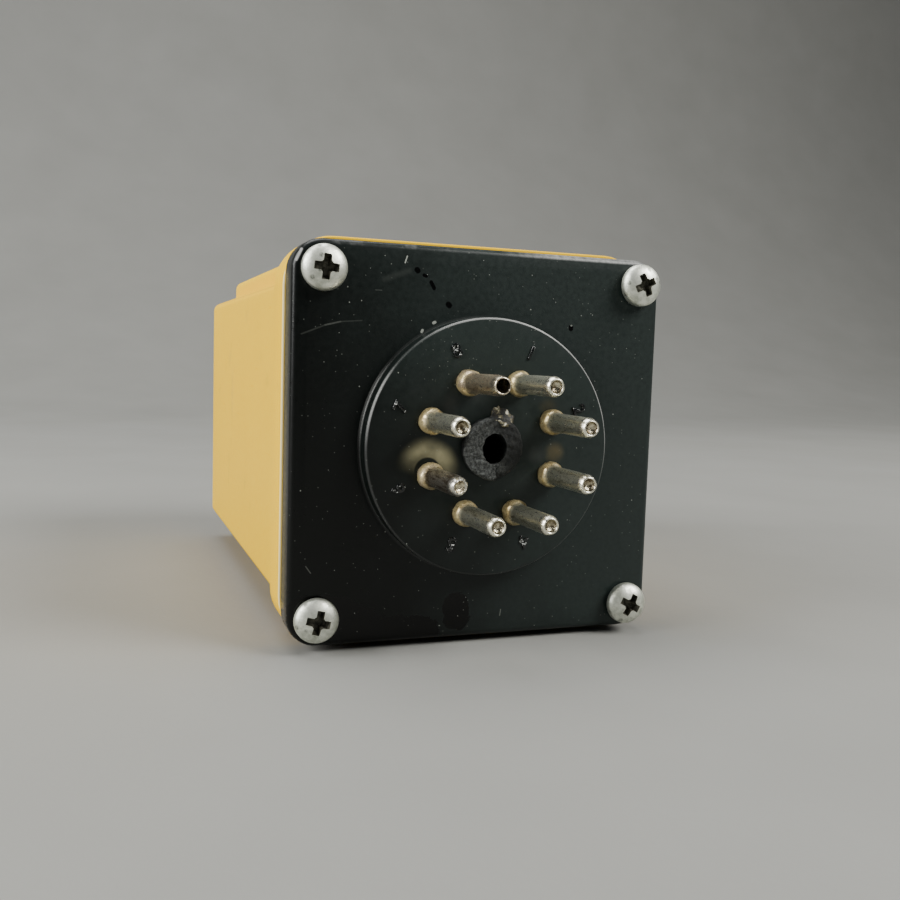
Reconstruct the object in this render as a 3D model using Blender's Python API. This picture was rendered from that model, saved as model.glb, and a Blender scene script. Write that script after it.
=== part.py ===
# Plug-in relay: an octal base plate, a moulded cover and the switching mechanism inside.
# Sizes are in metres. Seen from the pins, +X is right and +Z is up. The pins point along -Y and
# the cover runs back along +Y. The origin is the bottom centre of the whole part.
import math

import bmesh
import bpy
from mathutils import Matrix, Vector

MM = 0.001
GAP = 0.3 * MM                      # air between pieces that touch
POLES = (1, -1)                     # the two contact sets, above and below the middle

# Base plate
PLATE_WIDTH = 49.4 * MM
PLATE_HEIGHT = 49.4 * MM
PLATE_THICKNESS = 4.2 * MM
PLATE_CORNER = 3.8 * MM
PLATE_EDGE_ROUND = 0.8 * MM
DISC_RADIUS = 16.15 * MM
DISC_HEIGHT = 2.8 * MM
DISC_EDGE_ROUND = 0.4 * MM
ROUND_MIDDLE = 0.3                  # depth of a round edge's middle, as a share of its radius
DISC_SIDES = 48
STUB_RADIUS = 3.9 * MM              # the key post, broken off short
STUB_HEIGHT = 1.4 * MM
STUB_HOLE_RADIUS = 1.8 * MM
STUB_HOLE_DEPTH = 6.5 * MM
KEY_WIDTH = 1.5 * MM                # what is left of the key on the post
KEY_REACH = 0.9 * MM
KEY_HEIGHT = 1.9 * MM
KEY_ROOT = 0.9 * MM
KEY_ANGLE = math.radians(72)
NUMERAL_HEIGHT = 1.7 * MM
NUMERAL_RELIEF = 0.2 * MM
NUMERAL_CIRCLE = 12.85 * MM
NUMERAL_SHARE = 0.7                 # a numeral's height as a share of its font size

# Pins
PIN_COUNT = 8
PIN_CIRCLE = 8.725 * MM
PIN_RADIUS = 1.2 * MM
PIN_BORE = 0.75 * MM
PIN_LENGTH = 11.1 * MM
PIN_TIP_RADIUS = 0.85 * MM
PIN_TIP_TAPER = 0.8 * MM
PIN_SOLDER = 2.5 * MM               # depth of the solder that closes the tip
PIN_DIMPLE = 0.4 * MM
PIN_COLLAR_RADIUS = 1.7 * MM
PIN_COLLAR_LENGTH = 1.5 * MM
PIN_FLARE = 0.45 * MM
PIN_TAIL = 1.7 * MM
OPEN_PIN = 8                        # this pin has lost its solder
PIN_SIDES = 12

# Cover
COVER_LENGTH = 78.1 * MM
COVER_WALL = 1.6 * MM
COVER_CORNER = 1.5 * MM
COVER_END_ROUND = 1.2 * MM
FLANGE_SIDE_OVERHANG = 0.25 * MM    # beyond the plate
FLANGE_TOP_OVERHANG = 0.8 * MM
FLANGE_CORNER = 6.2 * MM
FLANGE_DEPTH = 6.4 * MM
BODY_SIDE_INSET = 0.6 * MM          # in from the flange
BODY_TOP_INSET = 0.9 * MM
NOTCH_WIDTH = 4.2 * MM              # square recess along each long edge, in line with the screws
NOTCH_HEIGHT = 4.0 * MM

# Cover screws
SCREW_INSET = 3.5 * MM
SCREW_RADIUS = 1.3 * MM
SCREW_HEAD_RADIUS = 2.8 * MM
SCREW_HEAD_HEIGHT = 1.9 * MM
SCREW_RIM_HEIGHT = 0.85 * MM        # straight rim under the head's dome
SCREW_LENGTH = 9.5 * MM
SCREW_POINT_RADIUS = 0.5 * MM
SCREW_SIDES = 16
RECESS_WIDTH = 0.8 * MM
RECESS_SPAN = 3.3 * MM
RECESS_DEPTH = 1.2 * MM
SCREW_TURNS = {"1": 5, "2": -25, "3": 14, "4": 28}    # degrees each recess is turned

# Yoke and its screws
STANDOFF_RADIUS = 3.0 * MM
STANDOFF_HEIGHT = 9.0 * MM
STANDOFF_ROOT = 1.4 * MM            # how far it runs into the plate
STANDOFF_SPREAD = 13.0 * MM
YOKE_THICKNESS = 2.5 * MM
YOKE_LEG_WIDTH = 22.0 * MM
YOKE_LENGTH = 46.7 * MM
YOKE_EDGE = 3.0 * MM                # metal left outside each screw
YOKE_COIL_CLEARANCE = 2.0 * MM
SMALL_SCREW_RADIUS = 1.0 * MM
SMALL_HEAD_RADIUS = 2.0 * MM
SMALL_HEAD_HEIGHT = 1.3 * MM
SMALL_SCREW_LENGTH = 7.5 * MM
SLOT_WIDTH = 0.6 * MM
SLOT_DEPTH = 0.6 * MM
SMALL_SIDES = 12

# Coil
COIL_SIDES = 24
CORE_RADIUS = 4.5 * MM
CORE_TAIL_RADIUS = 2.5 * MM
CORE_TAIL_LENGTH = 7.0 * MM
POLE_RADIUS = 7.5 * MM
POLE_THICKNESS = 2.5 * MM
NUT_ACROSS_FLATS = 8.0 * MM
NUT_THICKNESS = 2.8 * MM
BOBBIN_WALL = 1.0 * MM
BOBBIN_FLANGE = 1.5 * MM
COIL_RADIUS = 9.2 * MM
TAPE_THICKNESS = 0.4 * MM
FLANGE_LIP = 0.3 * MM               # flange beyond the tape
RING_OUTER = 6.5 * MM
RING_INNER = 5.2 * MM
RING_DEPTH = 1.1 * MM
EAR_REACH = 10.8 * MM               # the bobbin's terminal ear, from the coil's middle
EAR_HALF_WIDTH = 6.0 * MM
TERMINAL_SPREAD = 4.0 * MM
TERMINAL_RADIUS = 0.45 * MM
TERMINAL_LENGTH = 7.5 * MM

# Armature and return spring
ARMATURE_TRAVEL = math.radians(3)
ARMATURE_THICKNESS = 2.0 * MM
ARMATURE_WIDTH = 18.0 * MM
ARMATURE_LEG = 1.8 * MM
ARMATURE_BAR_WIDTH = 22.0 * MM
ARMATURE_BAR_HEIGHT = 8.0 * MM
ARMATURE_OVERHANG = 0.5 * MM
BAR_DROP = 30.15 * MM               # pivot to the lower end of the leg
WINDOW_WIDTH = 6.4 * MM             # opening in the leg for the spring's lug
WINDOW_MARGIN = 2.3 * MM
SPRING_RADIUS = 1.6 * MM
SPRING_WIRE = 0.25 * MM
SPRING_TURNS = 7
SPRING_STEPS = 8
SPRING_EYE = 0.8 * MM
SPRING_END = 2.2 * MM
SPRING_OFFSET = 2.2 * MM            # spring axis behind the armature's leg
TAB_HALF_WIDTH = 2.4 * MM
TAB_BEYOND = 1.9 * MM
LUG_BELOW_PIVOT = 16.5 * MM
LUG_THICKNESS = 1.8 * MM

# Contacts
CARD_THICKNESS = 7.0 * MM
CARD_HEIGHT = 7.0 * MM
CARD_HALF_WIDTH = 11.5 * MM
CARD_BLADE_INSET = 1.9 * MM         # moving blade's middle, in from the card's outer face
CARD_RIVET_RADIUS = 0.9 * MM
CARD_RIVET_SPREAD = 2.5 * MM
CARD_RIVET_HEAD = 1.6 * MM
MOVING_BLADE = 0.4 * MM
FIXED_BLADE = 0.8 * MM
BLADE_WIDTH = 5.0 * MM
BLADE_SPREAD = 8.0 * MM
BLADE_ABOVE_CARD = 3.0 * MM
BLADE_BEYOND_CONTACT = 2.4 * MM
CONTACT_HEIGHT = 15.0 * MM          # contact line, back from the plate
CONTACT_RADIUS = 2.0 * MM
CONTACT_HEAD = 0.95 * MM
CONTACT_SHANK = 0.8 * MM
CONTACT_TAIL_RADIUS = 1.3 * MM
CONTACT_TAIL = 0.4 * MM
CONTACT_CLOSED = 0.15 * MM          # left between the contacts at the end of the travel
LUG_REACH = 3.5 * MM
LUG_HEIGHT = 2.0 * MM
LUG_LINE = 10.0 * MM
BLOCK_HEIGHT = 7.7 * MM
BLOCK_MARGIN = 1.0 * MM
BLOCK_HALF_WIDTH = 11.8 * MM
BLOCK_FLOOR = 0.9 * MM
BLOCK_SCREW_REACH = 2.1 * MM        # into the plate

# Lead wires
LEAD_RADIUS = 0.4 * MM
LEAD_IN_PIN = 2.5 * MM
LEAD_STRAIGHT = 0.5 * MM            # straight out of the pin before the first bend
LEAD_TURN = (1.5 * MM, 2.0 * MM)    # last bend before a moving blade: down, and out to the side
LEAD_LUG_TURN = (0.6 * MM, 0.9 * MM)    # the same before a fixed blade


# Places worked out from the sizes above

TOTAL_LENGTH = PIN_LENGTH + DISC_HEIGHT + PLATE_THICKNESS + GAP + COVER_LENGTH
DISC_FACE = PIN_LENGTH - TOTAL_LENGTH / 2
PLATE_FRONT = DISC_FACE + DISC_HEIGHT
PLATE_BACK = PLATE_FRONT + PLATE_THICKNESS
COVER_FRONT = PLATE_BACK + GAP
COVER_BACK = COVER_FRONT + COVER_LENGTH
FLANGE_BACK = COVER_FRONT + FLANGE_DEPTH

FLANGE_WIDTH = PLATE_WIDTH + 2 * FLANGE_SIDE_OVERHANG
FLANGE_HEIGHT = PLATE_HEIGHT + 2 * FLANGE_TOP_OVERHANG
BODY_WIDTH = FLANGE_WIDTH - 2 * BODY_SIDE_INSET
BODY_HEIGHT = FLANGE_HEIGHT - 2 * BODY_TOP_INSET
AXIS_HEIGHT = FLANGE_HEIGHT / 2

SCREW_X = PLATE_WIDTH / 2 - SCREW_INSET
SCREW_Z = PLATE_HEIGHT / 2 - SCREW_INSET

# Along Y, the mechanism stands on the plate.
YOKE_FRONT = PLATE_BACK + STANDOFF_HEIGHT + GAP
YOKE_BACK = YOKE_FRONT + YOKE_LENGTH
BOBBIN_FRONT = YOKE_FRONT + YOKE_THICKNESS + GAP
BOBBIN_BACK = YOKE_BACK - POLE_THICKNESS - GAP
PIVOT_Y = YOKE_BACK + GAP / 2
BAR_FRONT = PIVOT_Y - BAR_DROP
LUG_BACK = PIVOT_Y - LUG_BELOW_PIVOT
CARD_FRONT = BAR_FRONT + (ARMATURE_BAR_HEIGHT - CARD_HEIGHT) / 2
CARD_BACK = CARD_FRONT + CARD_HEIGHT
CONTACT_Y = PLATE_BACK + CONTACT_HEIGHT
BLOCK_FRONT = PLATE_BACK + GAP
BLOCK_BACK = BLOCK_FRONT + BLOCK_HEIGHT

# Across X it is laid out from the contact block, which stands just clear of the pins. The
# armature is laid out where it meets the pole, and then opened by its travel.
PIN_EDGE = PIN_CIRCLE * math.cos(math.pi / PIN_COUNT) + PIN_RADIUS + PIN_FLARE
BLOCK_LEFT = PIN_EDGE + GAP
NC_X = BLOCK_LEFT + BLOCK_MARGIN + FIXED_BLADE / 2
NC_FACE = NC_X + FIXED_BLADE / 2 + GAP + CONTACT_HEAD
BLADE_PLAY = MOVING_BLADE / 2 + CONTACT_HEAD
OPEN_CONTACT_X = NC_FACE + GAP + BLADE_PLAY
LEG_STANDS_OFF = GAP + BAR_DROP * math.sin(ARMATURE_TRAVEL)
BLADE_FROM_PIVOT = LEG_STANDS_OFF + ARMATURE_LEG + GAP + CARD_THICKNESS - CARD_BLADE_INSET
PIVOT_X = (OPEN_CONTACT_X - BLADE_FROM_PIVOT * math.cos(ARMATURE_TRAVEL)
           + (PIVOT_Y - CONTACT_Y) * math.sin(ARMATURE_TRAVEL))
MOVING_X = PIVOT_X + BLADE_FROM_PIVOT
CARD_OUTER = MOVING_X + CARD_BLADE_INSET
CARD_INNER = CARD_OUTER - CARD_THICKNESS
ARMATURE_LEG_INNER = PIVOT_X + LEG_STANDS_OFF
ARMATURE_LEG_OUTER = ARMATURE_LEG_INNER + ARMATURE_LEG
SPRING_X = ARMATURE_LEG_OUTER + SPRING_OFFSET
NO_FACE = MOVING_X + BLADE_PLAY + CONTACT_CLOSED
NO_X = NO_FACE + CONTACT_HEAD + GAP + FIXED_BLADE / 2
BLOCK_RIGHT = NO_X + FIXED_BLADE / 2 + BLOCK_MARGIN
BLOCK_SCREW_OFFSET = (BLOCK_RIGHT - BLOCK_LEFT) / 4
FIXED_CONTACTS = {"no": (NO_X, NO_FACE, -1), "nc": (NC_X, NC_FACE, 1)}
LEG_OUTER = PIVOT_X
LEG_INNER = LEG_OUTER - YOKE_THICKNESS
TAPE_RADIUS = COIL_RADIUS + GAP + TAPE_THICKNESS
BOBBIN_RADIUS = TAPE_RADIUS + FLANGE_LIP
COIL_X = LEG_INNER - YOKE_COIL_CLEARANCE - BOBBIN_RADIUS


def open_place(x, y):
    """Where a point of the closed armature lies when it is open."""
    turned_back = Matrix.Rotation(-ARMATURE_TRAVEL, 2) @ Vector((x - PIVOT_X, y - PIVOT_Y))
    return PIVOT_X + turned_back.x, PIVOT_Y + turned_back.y


# Helpers

PLANES = {
    "X": lambda a, b, along: (along, a, b),
    "Y": lambda a, b, along: (a, along, b),
    "Z": lambda a, b, along: (a, b, along),
}


def clear_scene():
    for old in list(bpy.data.objects):
        bpy.data.objects.remove(old, do_unlink=True)


def finish(name, color, roughness, metallic):
    material = bpy.data.materials.new(name)
    material.use_nodes = True
    shader = material.node_tree.nodes["Principled BSDF"]
    shader.inputs["Base Color"].default_value = (*color, 1)
    shader.inputs["Roughness"].default_value = roughness
    shader.inputs["Metallic"].default_value = metallic
    return material


def add_piece(name, bm, material, parent=None, at=(0, 0, 0), smooth_angle=35):
    """Turns a bmesh into a named object and shades its round faces smooth."""
    bmesh.ops.remove_doubles(bm, verts=bm.verts, dist=0.001 * MM)
    bmesh.ops.recalc_face_normals(bm, faces=bm.faces)
    mesh = bpy.data.meshes.new(name)
    bm.to_mesh(mesh)
    bm.free()
    mesh.materials.append(material)
    mesh.shade_smooth()
    mesh.set_sharp_from_angle(angle=math.radians(smooth_angle))
    piece = bpy.data.objects.new(name, mesh)
    piece.location = at
    piece.parent = parent
    bpy.context.collection.objects.link(piece)
    return piece


def box(low, high):
    bm = bmesh.new()
    bmesh.ops.create_cube(bm, size=1)
    bmesh.ops.scale(bm, vec=Vector(high) - Vector(low), verts=bm.verts)
    bmesh.ops.translate(bm, vec=(Vector(high) + Vector(low)) / 2, verts=bm.verts)
    return bm


def prism(outline, start, end, axis="Y"):
    """A flat outline pushed along an axis from start to end."""
    bm = bmesh.new()
    face = bm.faces.new([bm.verts.new(PLANES[axis](a, b, start)) for a, b in outline])
    grown = bmesh.ops.extrude_face_region(bm, geom=[face])["geom"]
    moved = [item for item in grown if isinstance(item, bmesh.types.BMVert)]
    bmesh.ops.translate(bm, vec=PLANES[axis](0, 0, end - start), verts=moved)
    bmesh.ops.recalc_face_normals(bm, faces=bm.faces)
    return bm


def turned(profile, segments, axis="Y"):
    """A profile of (radius, distance along the axis) turned once around the axis."""
    bm = bmesh.new()
    verts = [bm.verts.new(PLANES[axis](radius, 0, along)) for radius, along in profile]
    closed = profile[0][0] > 0
    pairs = list(zip(verts, verts[1:] + verts[:1])) if closed else list(zip(verts, verts[1:]))
    edges = [bm.edges.new(pair) for pair in pairs]
    bmesh.ops.spin(bm, geom=verts + edges, cent=(0, 0, 0), axis=PLANES[axis](0, 0, 1),
                   angle=2 * math.pi, steps=segments, use_merge=True)
    bmesh.ops.remove_doubles(bm, verts=bm.verts, dist=0.001 * MM)
    flat_ends = [ends[0][1] for ends in (profile[:2], profile[:-3:-1])
                 if ends[0][0] == 0 and ends[0][1] == ends[1][1]]
    poles = [vert for vert in bm.verts
             if any((vert.co - Vector(PLANES[axis](0, 0, end))).length < 0.001 * MM
                    for end in flat_ends)]
    bmesh.ops.dissolve_verts(bm, verts=poles)
    bmesh.ops.recalc_face_normals(bm, faces=bm.faces)
    return bm


def cylinder(radius, start, end, segments=SCREW_SIDES, axis="Y"):
    return turned([(0, start), (radius, start), (radius, end), (0, end)], segments, axis)


def moved(bm, place):
    bmesh.ops.translate(bm, vec=place, verts=bm.verts)
    return bm


def spun(bm, angle, axis="Y"):
    bmesh.ops.rotate(bm, cent=(0, 0, 0), matrix=Matrix.Rotation(angle, 3, axis), verts=bm.verts)
    return bm


def rectangle(left, right, low, high):
    return [(right, high), (left, high), (left, low), (right, low)]


def filleted(corners, radius, steps=3):
    """Rounds each right-angled corner of an outline."""
    outline = []
    for index, corner in enumerate(corners):
        here = Vector(corner)
        back = (Vector(corners[index - 1]) - here).normalized()
        ahead = (Vector(corners[(index + 1) % len(corners)]) - here).normalized()
        centre = here + (back + ahead) * radius
        for step in range(steps + 1):
            turn = math.pi / 2 * step / steps
            point = centre - ahead * radius * math.cos(turn) - back * radius * math.sin(turn)
            outline.append(tuple(point))
    return outline


def notched(width, height, radius):
    """A rectangle with a notch in each corner, all its corners rounded."""
    half_x, half_z = width / 2, height / 2
    corners = []
    for sx, sz in ((1, 1), (-1, 1), (-1, -1), (1, -1)):
        side = (sx * half_x, sz * (half_z - NOTCH_HEIGHT))
        inner = (sx * (half_x - NOTCH_WIDTH), sz * (half_z - NOTCH_HEIGHT))
        top = (sx * (half_x - NOTCH_WIDTH), sz * half_z)
        corners += [side, inner, top] if sx == sz else [top, inner, side]
    return filleted(corners, radius)


def round_end(bm, end, width, segments=2):
    """Rounds the rim of the flat end that lies at one place along Y."""
    near = 0.001 * MM
    rim = [edge for edge in bm.edges if all(abs(v.co.y - end) < near for v in edge.verts)]
    bmesh.ops.bevel(bm, geom=rim, offset=width, segments=segments, profile=0.5, affect="EDGES")
    return bm


def in_millimetres(bm):
    """A passing object for a Boolean, which rounds less when its numbers are larger."""
    bmesh.ops.scale(bm, vec=(1 / MM, 1 / MM, 1 / MM), verts=bm.verts)
    shape = bpy.data.objects.new("shape", bpy.data.meshes.new("shape"))
    bm.to_mesh(shape.data)
    bm.free()
    bpy.context.collection.objects.link(shape)
    return shape


def combine(base, others, operation):
    """Joins other shapes to a shape, or cuts them out of it, all at once."""
    solid, *tools = [in_millimetres(shape) for shape in [base] + others]
    group = bpy.data.collections.new("tools")
    for tool in tools:
        group.objects.link(tool)
    modifier = solid.modifiers.new("combine", "BOOLEAN")
    modifier.operation = operation
    modifier.solver = "EXACT"
    modifier.operand_type = "COLLECTION"
    modifier.collection = group
    evaluated = solid.evaluated_get(bpy.context.evaluated_depsgraph_get())
    result = bmesh.new()
    result.from_mesh(evaluated.to_mesh())
    evaluated.to_mesh_clear()
    for spare in [solid] + tools:
        bpy.data.objects.remove(spare, do_unlink=True)
    bpy.data.collections.remove(group)
    bmesh.ops.scale(result, vec=(MM, MM, MM), verts=result.verts)
    return result


def joined(base, others):
    return combine(base, others, "UNION")


def cut(base, others):
    return combine(base, others, "DIFFERENCE")


def pin_angle(number):
    """Pins run clockwise from the key, seen from their tips."""
    return math.radians(90) - math.radians(360) * (number - 0.5) / PIN_COUNT


def pin_place(number, along):
    angle = pin_angle(number)
    return (PIN_CIRCLE * math.cos(angle), along, AXIS_HEIGHT + PIN_CIRCLE * math.sin(angle))


def corner_places():
    """Screw centres: top left, top right, bottom left, bottom right."""
    return [(sx * SCREW_X, AXIS_HEIGHT + sz * SCREW_Z) for sz in (1, -1) for sx in (-1, 1)]


# Base and pins

def numeral(number):
    curve = bpy.data.curves.new("numeral", "FONT")
    curve.body = str(number)
    curve.size = NUMERAL_HEIGHT / NUMERAL_SHARE
    curve.extrude = NUMERAL_RELIEF
    curve.resolution_u = 1
    curve.align_x = "CENTER"
    curve.align_y = "CENTER"
    text = bpy.data.objects.new("numeral", curve)
    bpy.context.collection.objects.link(text)
    evaluated = text.evaluated_get(bpy.context.evaluated_depsgraph_get())
    bm = bmesh.new()
    bm.from_mesh(evaluated.to_mesh())
    evaluated.to_mesh_clear()
    bpy.data.objects.remove(text, do_unlink=True)
    bpy.data.curves.remove(curve)
    bmesh.ops.remove_doubles(bm, verts=bm.verts, dist=0.001 * MM)
    spun(bm, math.radians(90), "X")
    spun(bm, math.radians(90) - pin_angle(number), "Y")
    angle = pin_angle(number)
    return moved(bm, (NUMERAL_CIRCLE * math.cos(angle), DISC_FACE,
                      AXIS_HEIGHT + NUMERAL_CIRCLE * math.sin(angle)))


def make_base(material):
    centre = (0, 0, AXIS_HEIGHT)
    outline = filleted(rectangle(-PLATE_WIDTH / 2, PLATE_WIDTH / 2,
                                 -PLATE_HEIGHT / 2, PLATE_HEIGHT / 2), PLATE_CORNER, 5)
    plate = round_end(prism(outline, PLATE_FRONT, PLATE_BACK), PLATE_FRONT, PLATE_EDGE_ROUND)
    moved(plate, centre)
    middle = (PLATE_FRONT + PLATE_BACK) / 2
    stub_face = DISC_FACE - STUB_HEIGHT
    edge_middle = ROUND_MIDDLE * DISC_EDGE_ROUND
    disc = turned([(0, middle), (DISC_RADIUS, middle), (DISC_RADIUS, DISC_FACE + DISC_EDGE_ROUND),
                   (DISC_RADIUS - edge_middle, DISC_FACE + edge_middle),
                   (DISC_RADIUS - DISC_EDGE_ROUND, DISC_FACE), (STUB_RADIUS, DISC_FACE),
                   (STUB_RADIUS, stub_face), (0, stub_face)], DISC_SIDES)
    key_face = DISC_FACE - KEY_HEIGHT
    key = spun(box((STUB_RADIUS - KEY_REACH, key_face, -KEY_WIDTH / 2),
                   (STUB_RADIUS + KEY_REACH, DISC_FACE + KEY_ROOT, KEY_WIDTH / 2)),
               -KEY_ANGLE)
    additions = [moved(disc, centre), moved(key, centre)]
    for side in POLES:
        standoff = cylinder(STANDOFF_RADIUS, PLATE_BACK - STANDOFF_ROOT,
                            PLATE_BACK + STANDOFF_HEIGHT)
        additions.append(moved(standoff, (COIL_X, 0, AXIS_HEIGHT + side * STANDOFF_SPREAD)))
    additions += [numeral(number) for number in range(1, PIN_COUNT + 1)]

    cuts = [moved(cylinder(STUB_HOLE_RADIUS, key_face - STUB_HEIGHT,
                           stub_face + STUB_HOLE_DEPTH), centre)]
    for number in range(1, PIN_COUNT + 1):
        hole = cylinder(PIN_RADIUS + GAP, DISC_FACE - GAP, PLATE_BACK + GAP)
        cuts.append(moved(hole, pin_place(number, 0)))
    for x, z in corner_places():
        hole = cylinder(SCREW_RADIUS + GAP, PLATE_FRONT - GAP, PLATE_BACK + GAP)
        cuts.append(moved(hole, (x, 0, z)))
    standoff_top = PLATE_BACK + STANDOFF_HEIGHT
    for side in POLES:
        hole = cylinder(SMALL_SCREW_RADIUS + GAP, standoff_top - SMALL_SCREW_LENGTH,
                        standoff_top + GAP, SMALL_SIDES)
        cuts.append(moved(hole, (COIL_X, 0, AXIS_HEIGHT + side * STANDOFF_SPREAD)))
    for x in block_screw_places():
        hole = cylinder(SMALL_SCREW_RADIUS + GAP, PLATE_BACK - BLOCK_SCREW_REACH,
                        PLATE_BACK + GAP, SMALL_SIDES)
        cuts.append(moved(hole, (x, 0, AXIS_HEIGHT)))
    return add_piece("base_plate", cut(joined(plate, additions), cuts), material)


def pin_profile(is_open):
    tip = -PIN_LENGTH
    hole_back = DISC_HEIGHT + PLATE_THICKNESS + GAP
    inner_end = DISC_HEIGHT + PLATE_THICKNESS + PIN_TAIL
    outside = [
        (PIN_BORE, inner_end),
        (PIN_RADIUS, inner_end),
        (PIN_RADIUS, hole_back + PIN_FLARE),
        (PIN_RADIUS + PIN_FLARE, hole_back + PIN_FLARE),
        (PIN_RADIUS + PIN_FLARE, hole_back),
        (PIN_RADIUS, hole_back),
        (PIN_RADIUS, -GAP),
        (PIN_COLLAR_RADIUS, -GAP),
        (PIN_COLLAR_RADIUS, -PIN_COLLAR_LENGTH),
        (PIN_RADIUS, -PIN_COLLAR_LENGTH - (PIN_COLLAR_RADIUS - PIN_RADIUS) / 2),
        (PIN_RADIUS, tip + PIN_TIP_TAPER),
    ]
    if is_open:
        return outside + [(PIN_RADIUS - GAP / 2, tip), (PIN_BORE, tip)]
    seal = tip + PIN_SOLDER
    tip_end = [(PIN_TIP_RADIUS, tip), (PIN_TIP_RADIUS / 2, tip), (0, tip + PIN_DIMPLE)]
    return [(0, seal), (PIN_BORE, seal)] + outside + tip_end


def make_pins(material):
    for number in range(1, PIN_COUNT + 1):
        shape = turned(pin_profile(number == OPEN_PIN), PIN_SIDES)
        add_piece(f"pin_{number}", shape, material, at=pin_place(number, DISC_FACE))


# Cover and screws

def make_cover(material):
    flange_outline = filleted(rectangle(-FLANGE_WIDTH / 2, FLANGE_WIDTH / 2, -FLANGE_HEIGHT / 2,
                                        FLANGE_HEIGHT / 2), FLANGE_CORNER, 5)
    flange = prism(flange_outline, COVER_FRONT, FLANGE_BACK)
    middle = (COVER_FRONT + FLANGE_BACK) / 2
    body_outline = notched(BODY_WIDTH, BODY_HEIGHT, COVER_CORNER)
    body = round_end(prism(body_outline, middle, COVER_BACK), COVER_BACK, COVER_END_ROUND, 3)
    hollow = prism(notched(BODY_WIDTH - 2 * COVER_WALL, BODY_HEIGHT - 2 * COVER_WALL,
                           COVER_CORNER), COVER_FRONT - GAP, COVER_BACK - COVER_WALL)
    cuts = [hollow]
    for x, z in corner_places():
        reach = PLATE_FRONT + SCREW_LENGTH + GAP
        hole = cylinder(SCREW_RADIUS + GAP, COVER_FRONT - GAP, reach)
        cuts.append(moved(hole, (x, 0, z - AXIS_HEIGHT)))
    shape = cut(joined(flange, [body]), cuts)
    return add_piece("cover", moved(shape, (0, 0, AXIS_HEIGHT)), material)


def make_cover_screws(material):
    for (name, degrees), (x, z) in zip(SCREW_TURNS.items(), corner_places()):
        rise = SCREW_HEAD_HEIGHT - SCREW_RIM_HEIGHT
        dome = [(SCREW_HEAD_RADIUS * math.cos(step * math.pi / 8),
                 -SCREW_RIM_HEIGHT - rise * math.sin(step * math.pi / 8)) for step in range(4)]
        profile = [(0, SCREW_LENGTH), (SCREW_POINT_RADIUS, SCREW_LENGTH),
                   (SCREW_RADIUS, SCREW_LENGTH - 2 * SCREW_RADIUS), (SCREW_RADIUS, 0),
                   (SCREW_HEAD_RADIUS, 0)] + dome + [(0, -SCREW_HEAD_HEIGHT)]
        face = -SCREW_HEAD_HEIGHT - GAP
        floor = -SCREW_HEAD_HEIGHT + RECESS_DEPTH
        slots = [box((-RECESS_SPAN / 2, face, -RECESS_WIDTH / 2),
                     (RECESS_SPAN / 2, floor, RECESS_WIDTH / 2)),
                 box((-RECESS_WIDTH / 2, face, -RECESS_SPAN / 2),
                     (RECESS_WIDTH / 2, floor, RECESS_SPAN / 2))]
        recess = spun(joined(slots[0], [slots[1]]), math.radians(degrees))
        shape = cut(turned(profile, SCREW_SIDES), [recess])
        add_piece(f"cover_screw_{name}", shape, material, at=(x, PLATE_FRONT - GAP, z))


def slotted_screw(name, material, place, length=SMALL_SCREW_LENGTH):
    """A small cheese-head screw whose head lies behind its place, along +Y."""
    profile = [(0, -length), (SMALL_SCREW_RADIUS, -length), (SMALL_SCREW_RADIUS, 0),
               (SMALL_HEAD_RADIUS, 0), (SMALL_HEAD_RADIUS, SMALL_HEAD_HEIGHT),
               (0, SMALL_HEAD_HEIGHT)]
    slot = box((-SMALL_HEAD_RADIUS - GAP, SMALL_HEAD_HEIGHT - SLOT_DEPTH, -SLOT_WIDTH / 2),
               (SMALL_HEAD_RADIUS + GAP, SMALL_HEAD_HEIGHT + GAP, SLOT_WIDTH / 2))
    add_piece(name, cut(turned(profile, SMALL_SIDES), [slot]), material, at=place)


# Coil and yoke

def make_yoke(steel, zinc):
    foot_half = STANDOFF_SPREAD + YOKE_EDGE
    foot = box((COIL_X - BOBBIN_RADIUS + YOKE_COIL_CLEARANCE, YOKE_FRONT, -foot_half),
               (LEG_OUTER, YOKE_FRONT + YOKE_THICKNESS, foot_half))
    leg = box((LEG_INNER, YOKE_FRONT, -YOKE_LEG_WIDTH / 2),
              (LEG_OUTER, YOKE_BACK, YOKE_LEG_WIDTH / 2))
    lug = box((LEG_INNER, LUG_BACK - LUG_THICKNESS, -TAB_HALF_WIDTH),
              (SPRING_X + TAB_BEYOND, LUG_BACK, TAB_HALF_WIDTH))
    holes = [moved(cylinder(SPRING_EYE, LUG_BACK - LUG_THICKNESS - GAP, LUG_BACK + GAP,
                            SMALL_SIDES), (SPRING_X, 0, 0))]
    through = (YOKE_FRONT - GAP, YOKE_FRONT + YOKE_THICKNESS + GAP)
    holes.append(moved(cylinder(CORE_TAIL_RADIUS + GAP, *through), (COIL_X, 0, 0)))
    for side in POLES:
        hole = cylinder(SMALL_SCREW_RADIUS + GAP, *through, SMALL_SIDES)
        holes.append(moved(hole, (COIL_X, 0, side * STANDOFF_SPREAD)))
        slotted_screw(f"yoke_screw_{POLES.index(side) + 1}", zinc,
                      (COIL_X, YOKE_FRONT + YOKE_THICKNESS + GAP,
                       AXIS_HEIGHT + side * STANDOFF_SPREAD))
    shape = moved(cut(joined(foot, [leg, lug]), holes), (0, 0, AXIS_HEIGHT))
    add_piece("yoke", shape, steel)


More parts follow.
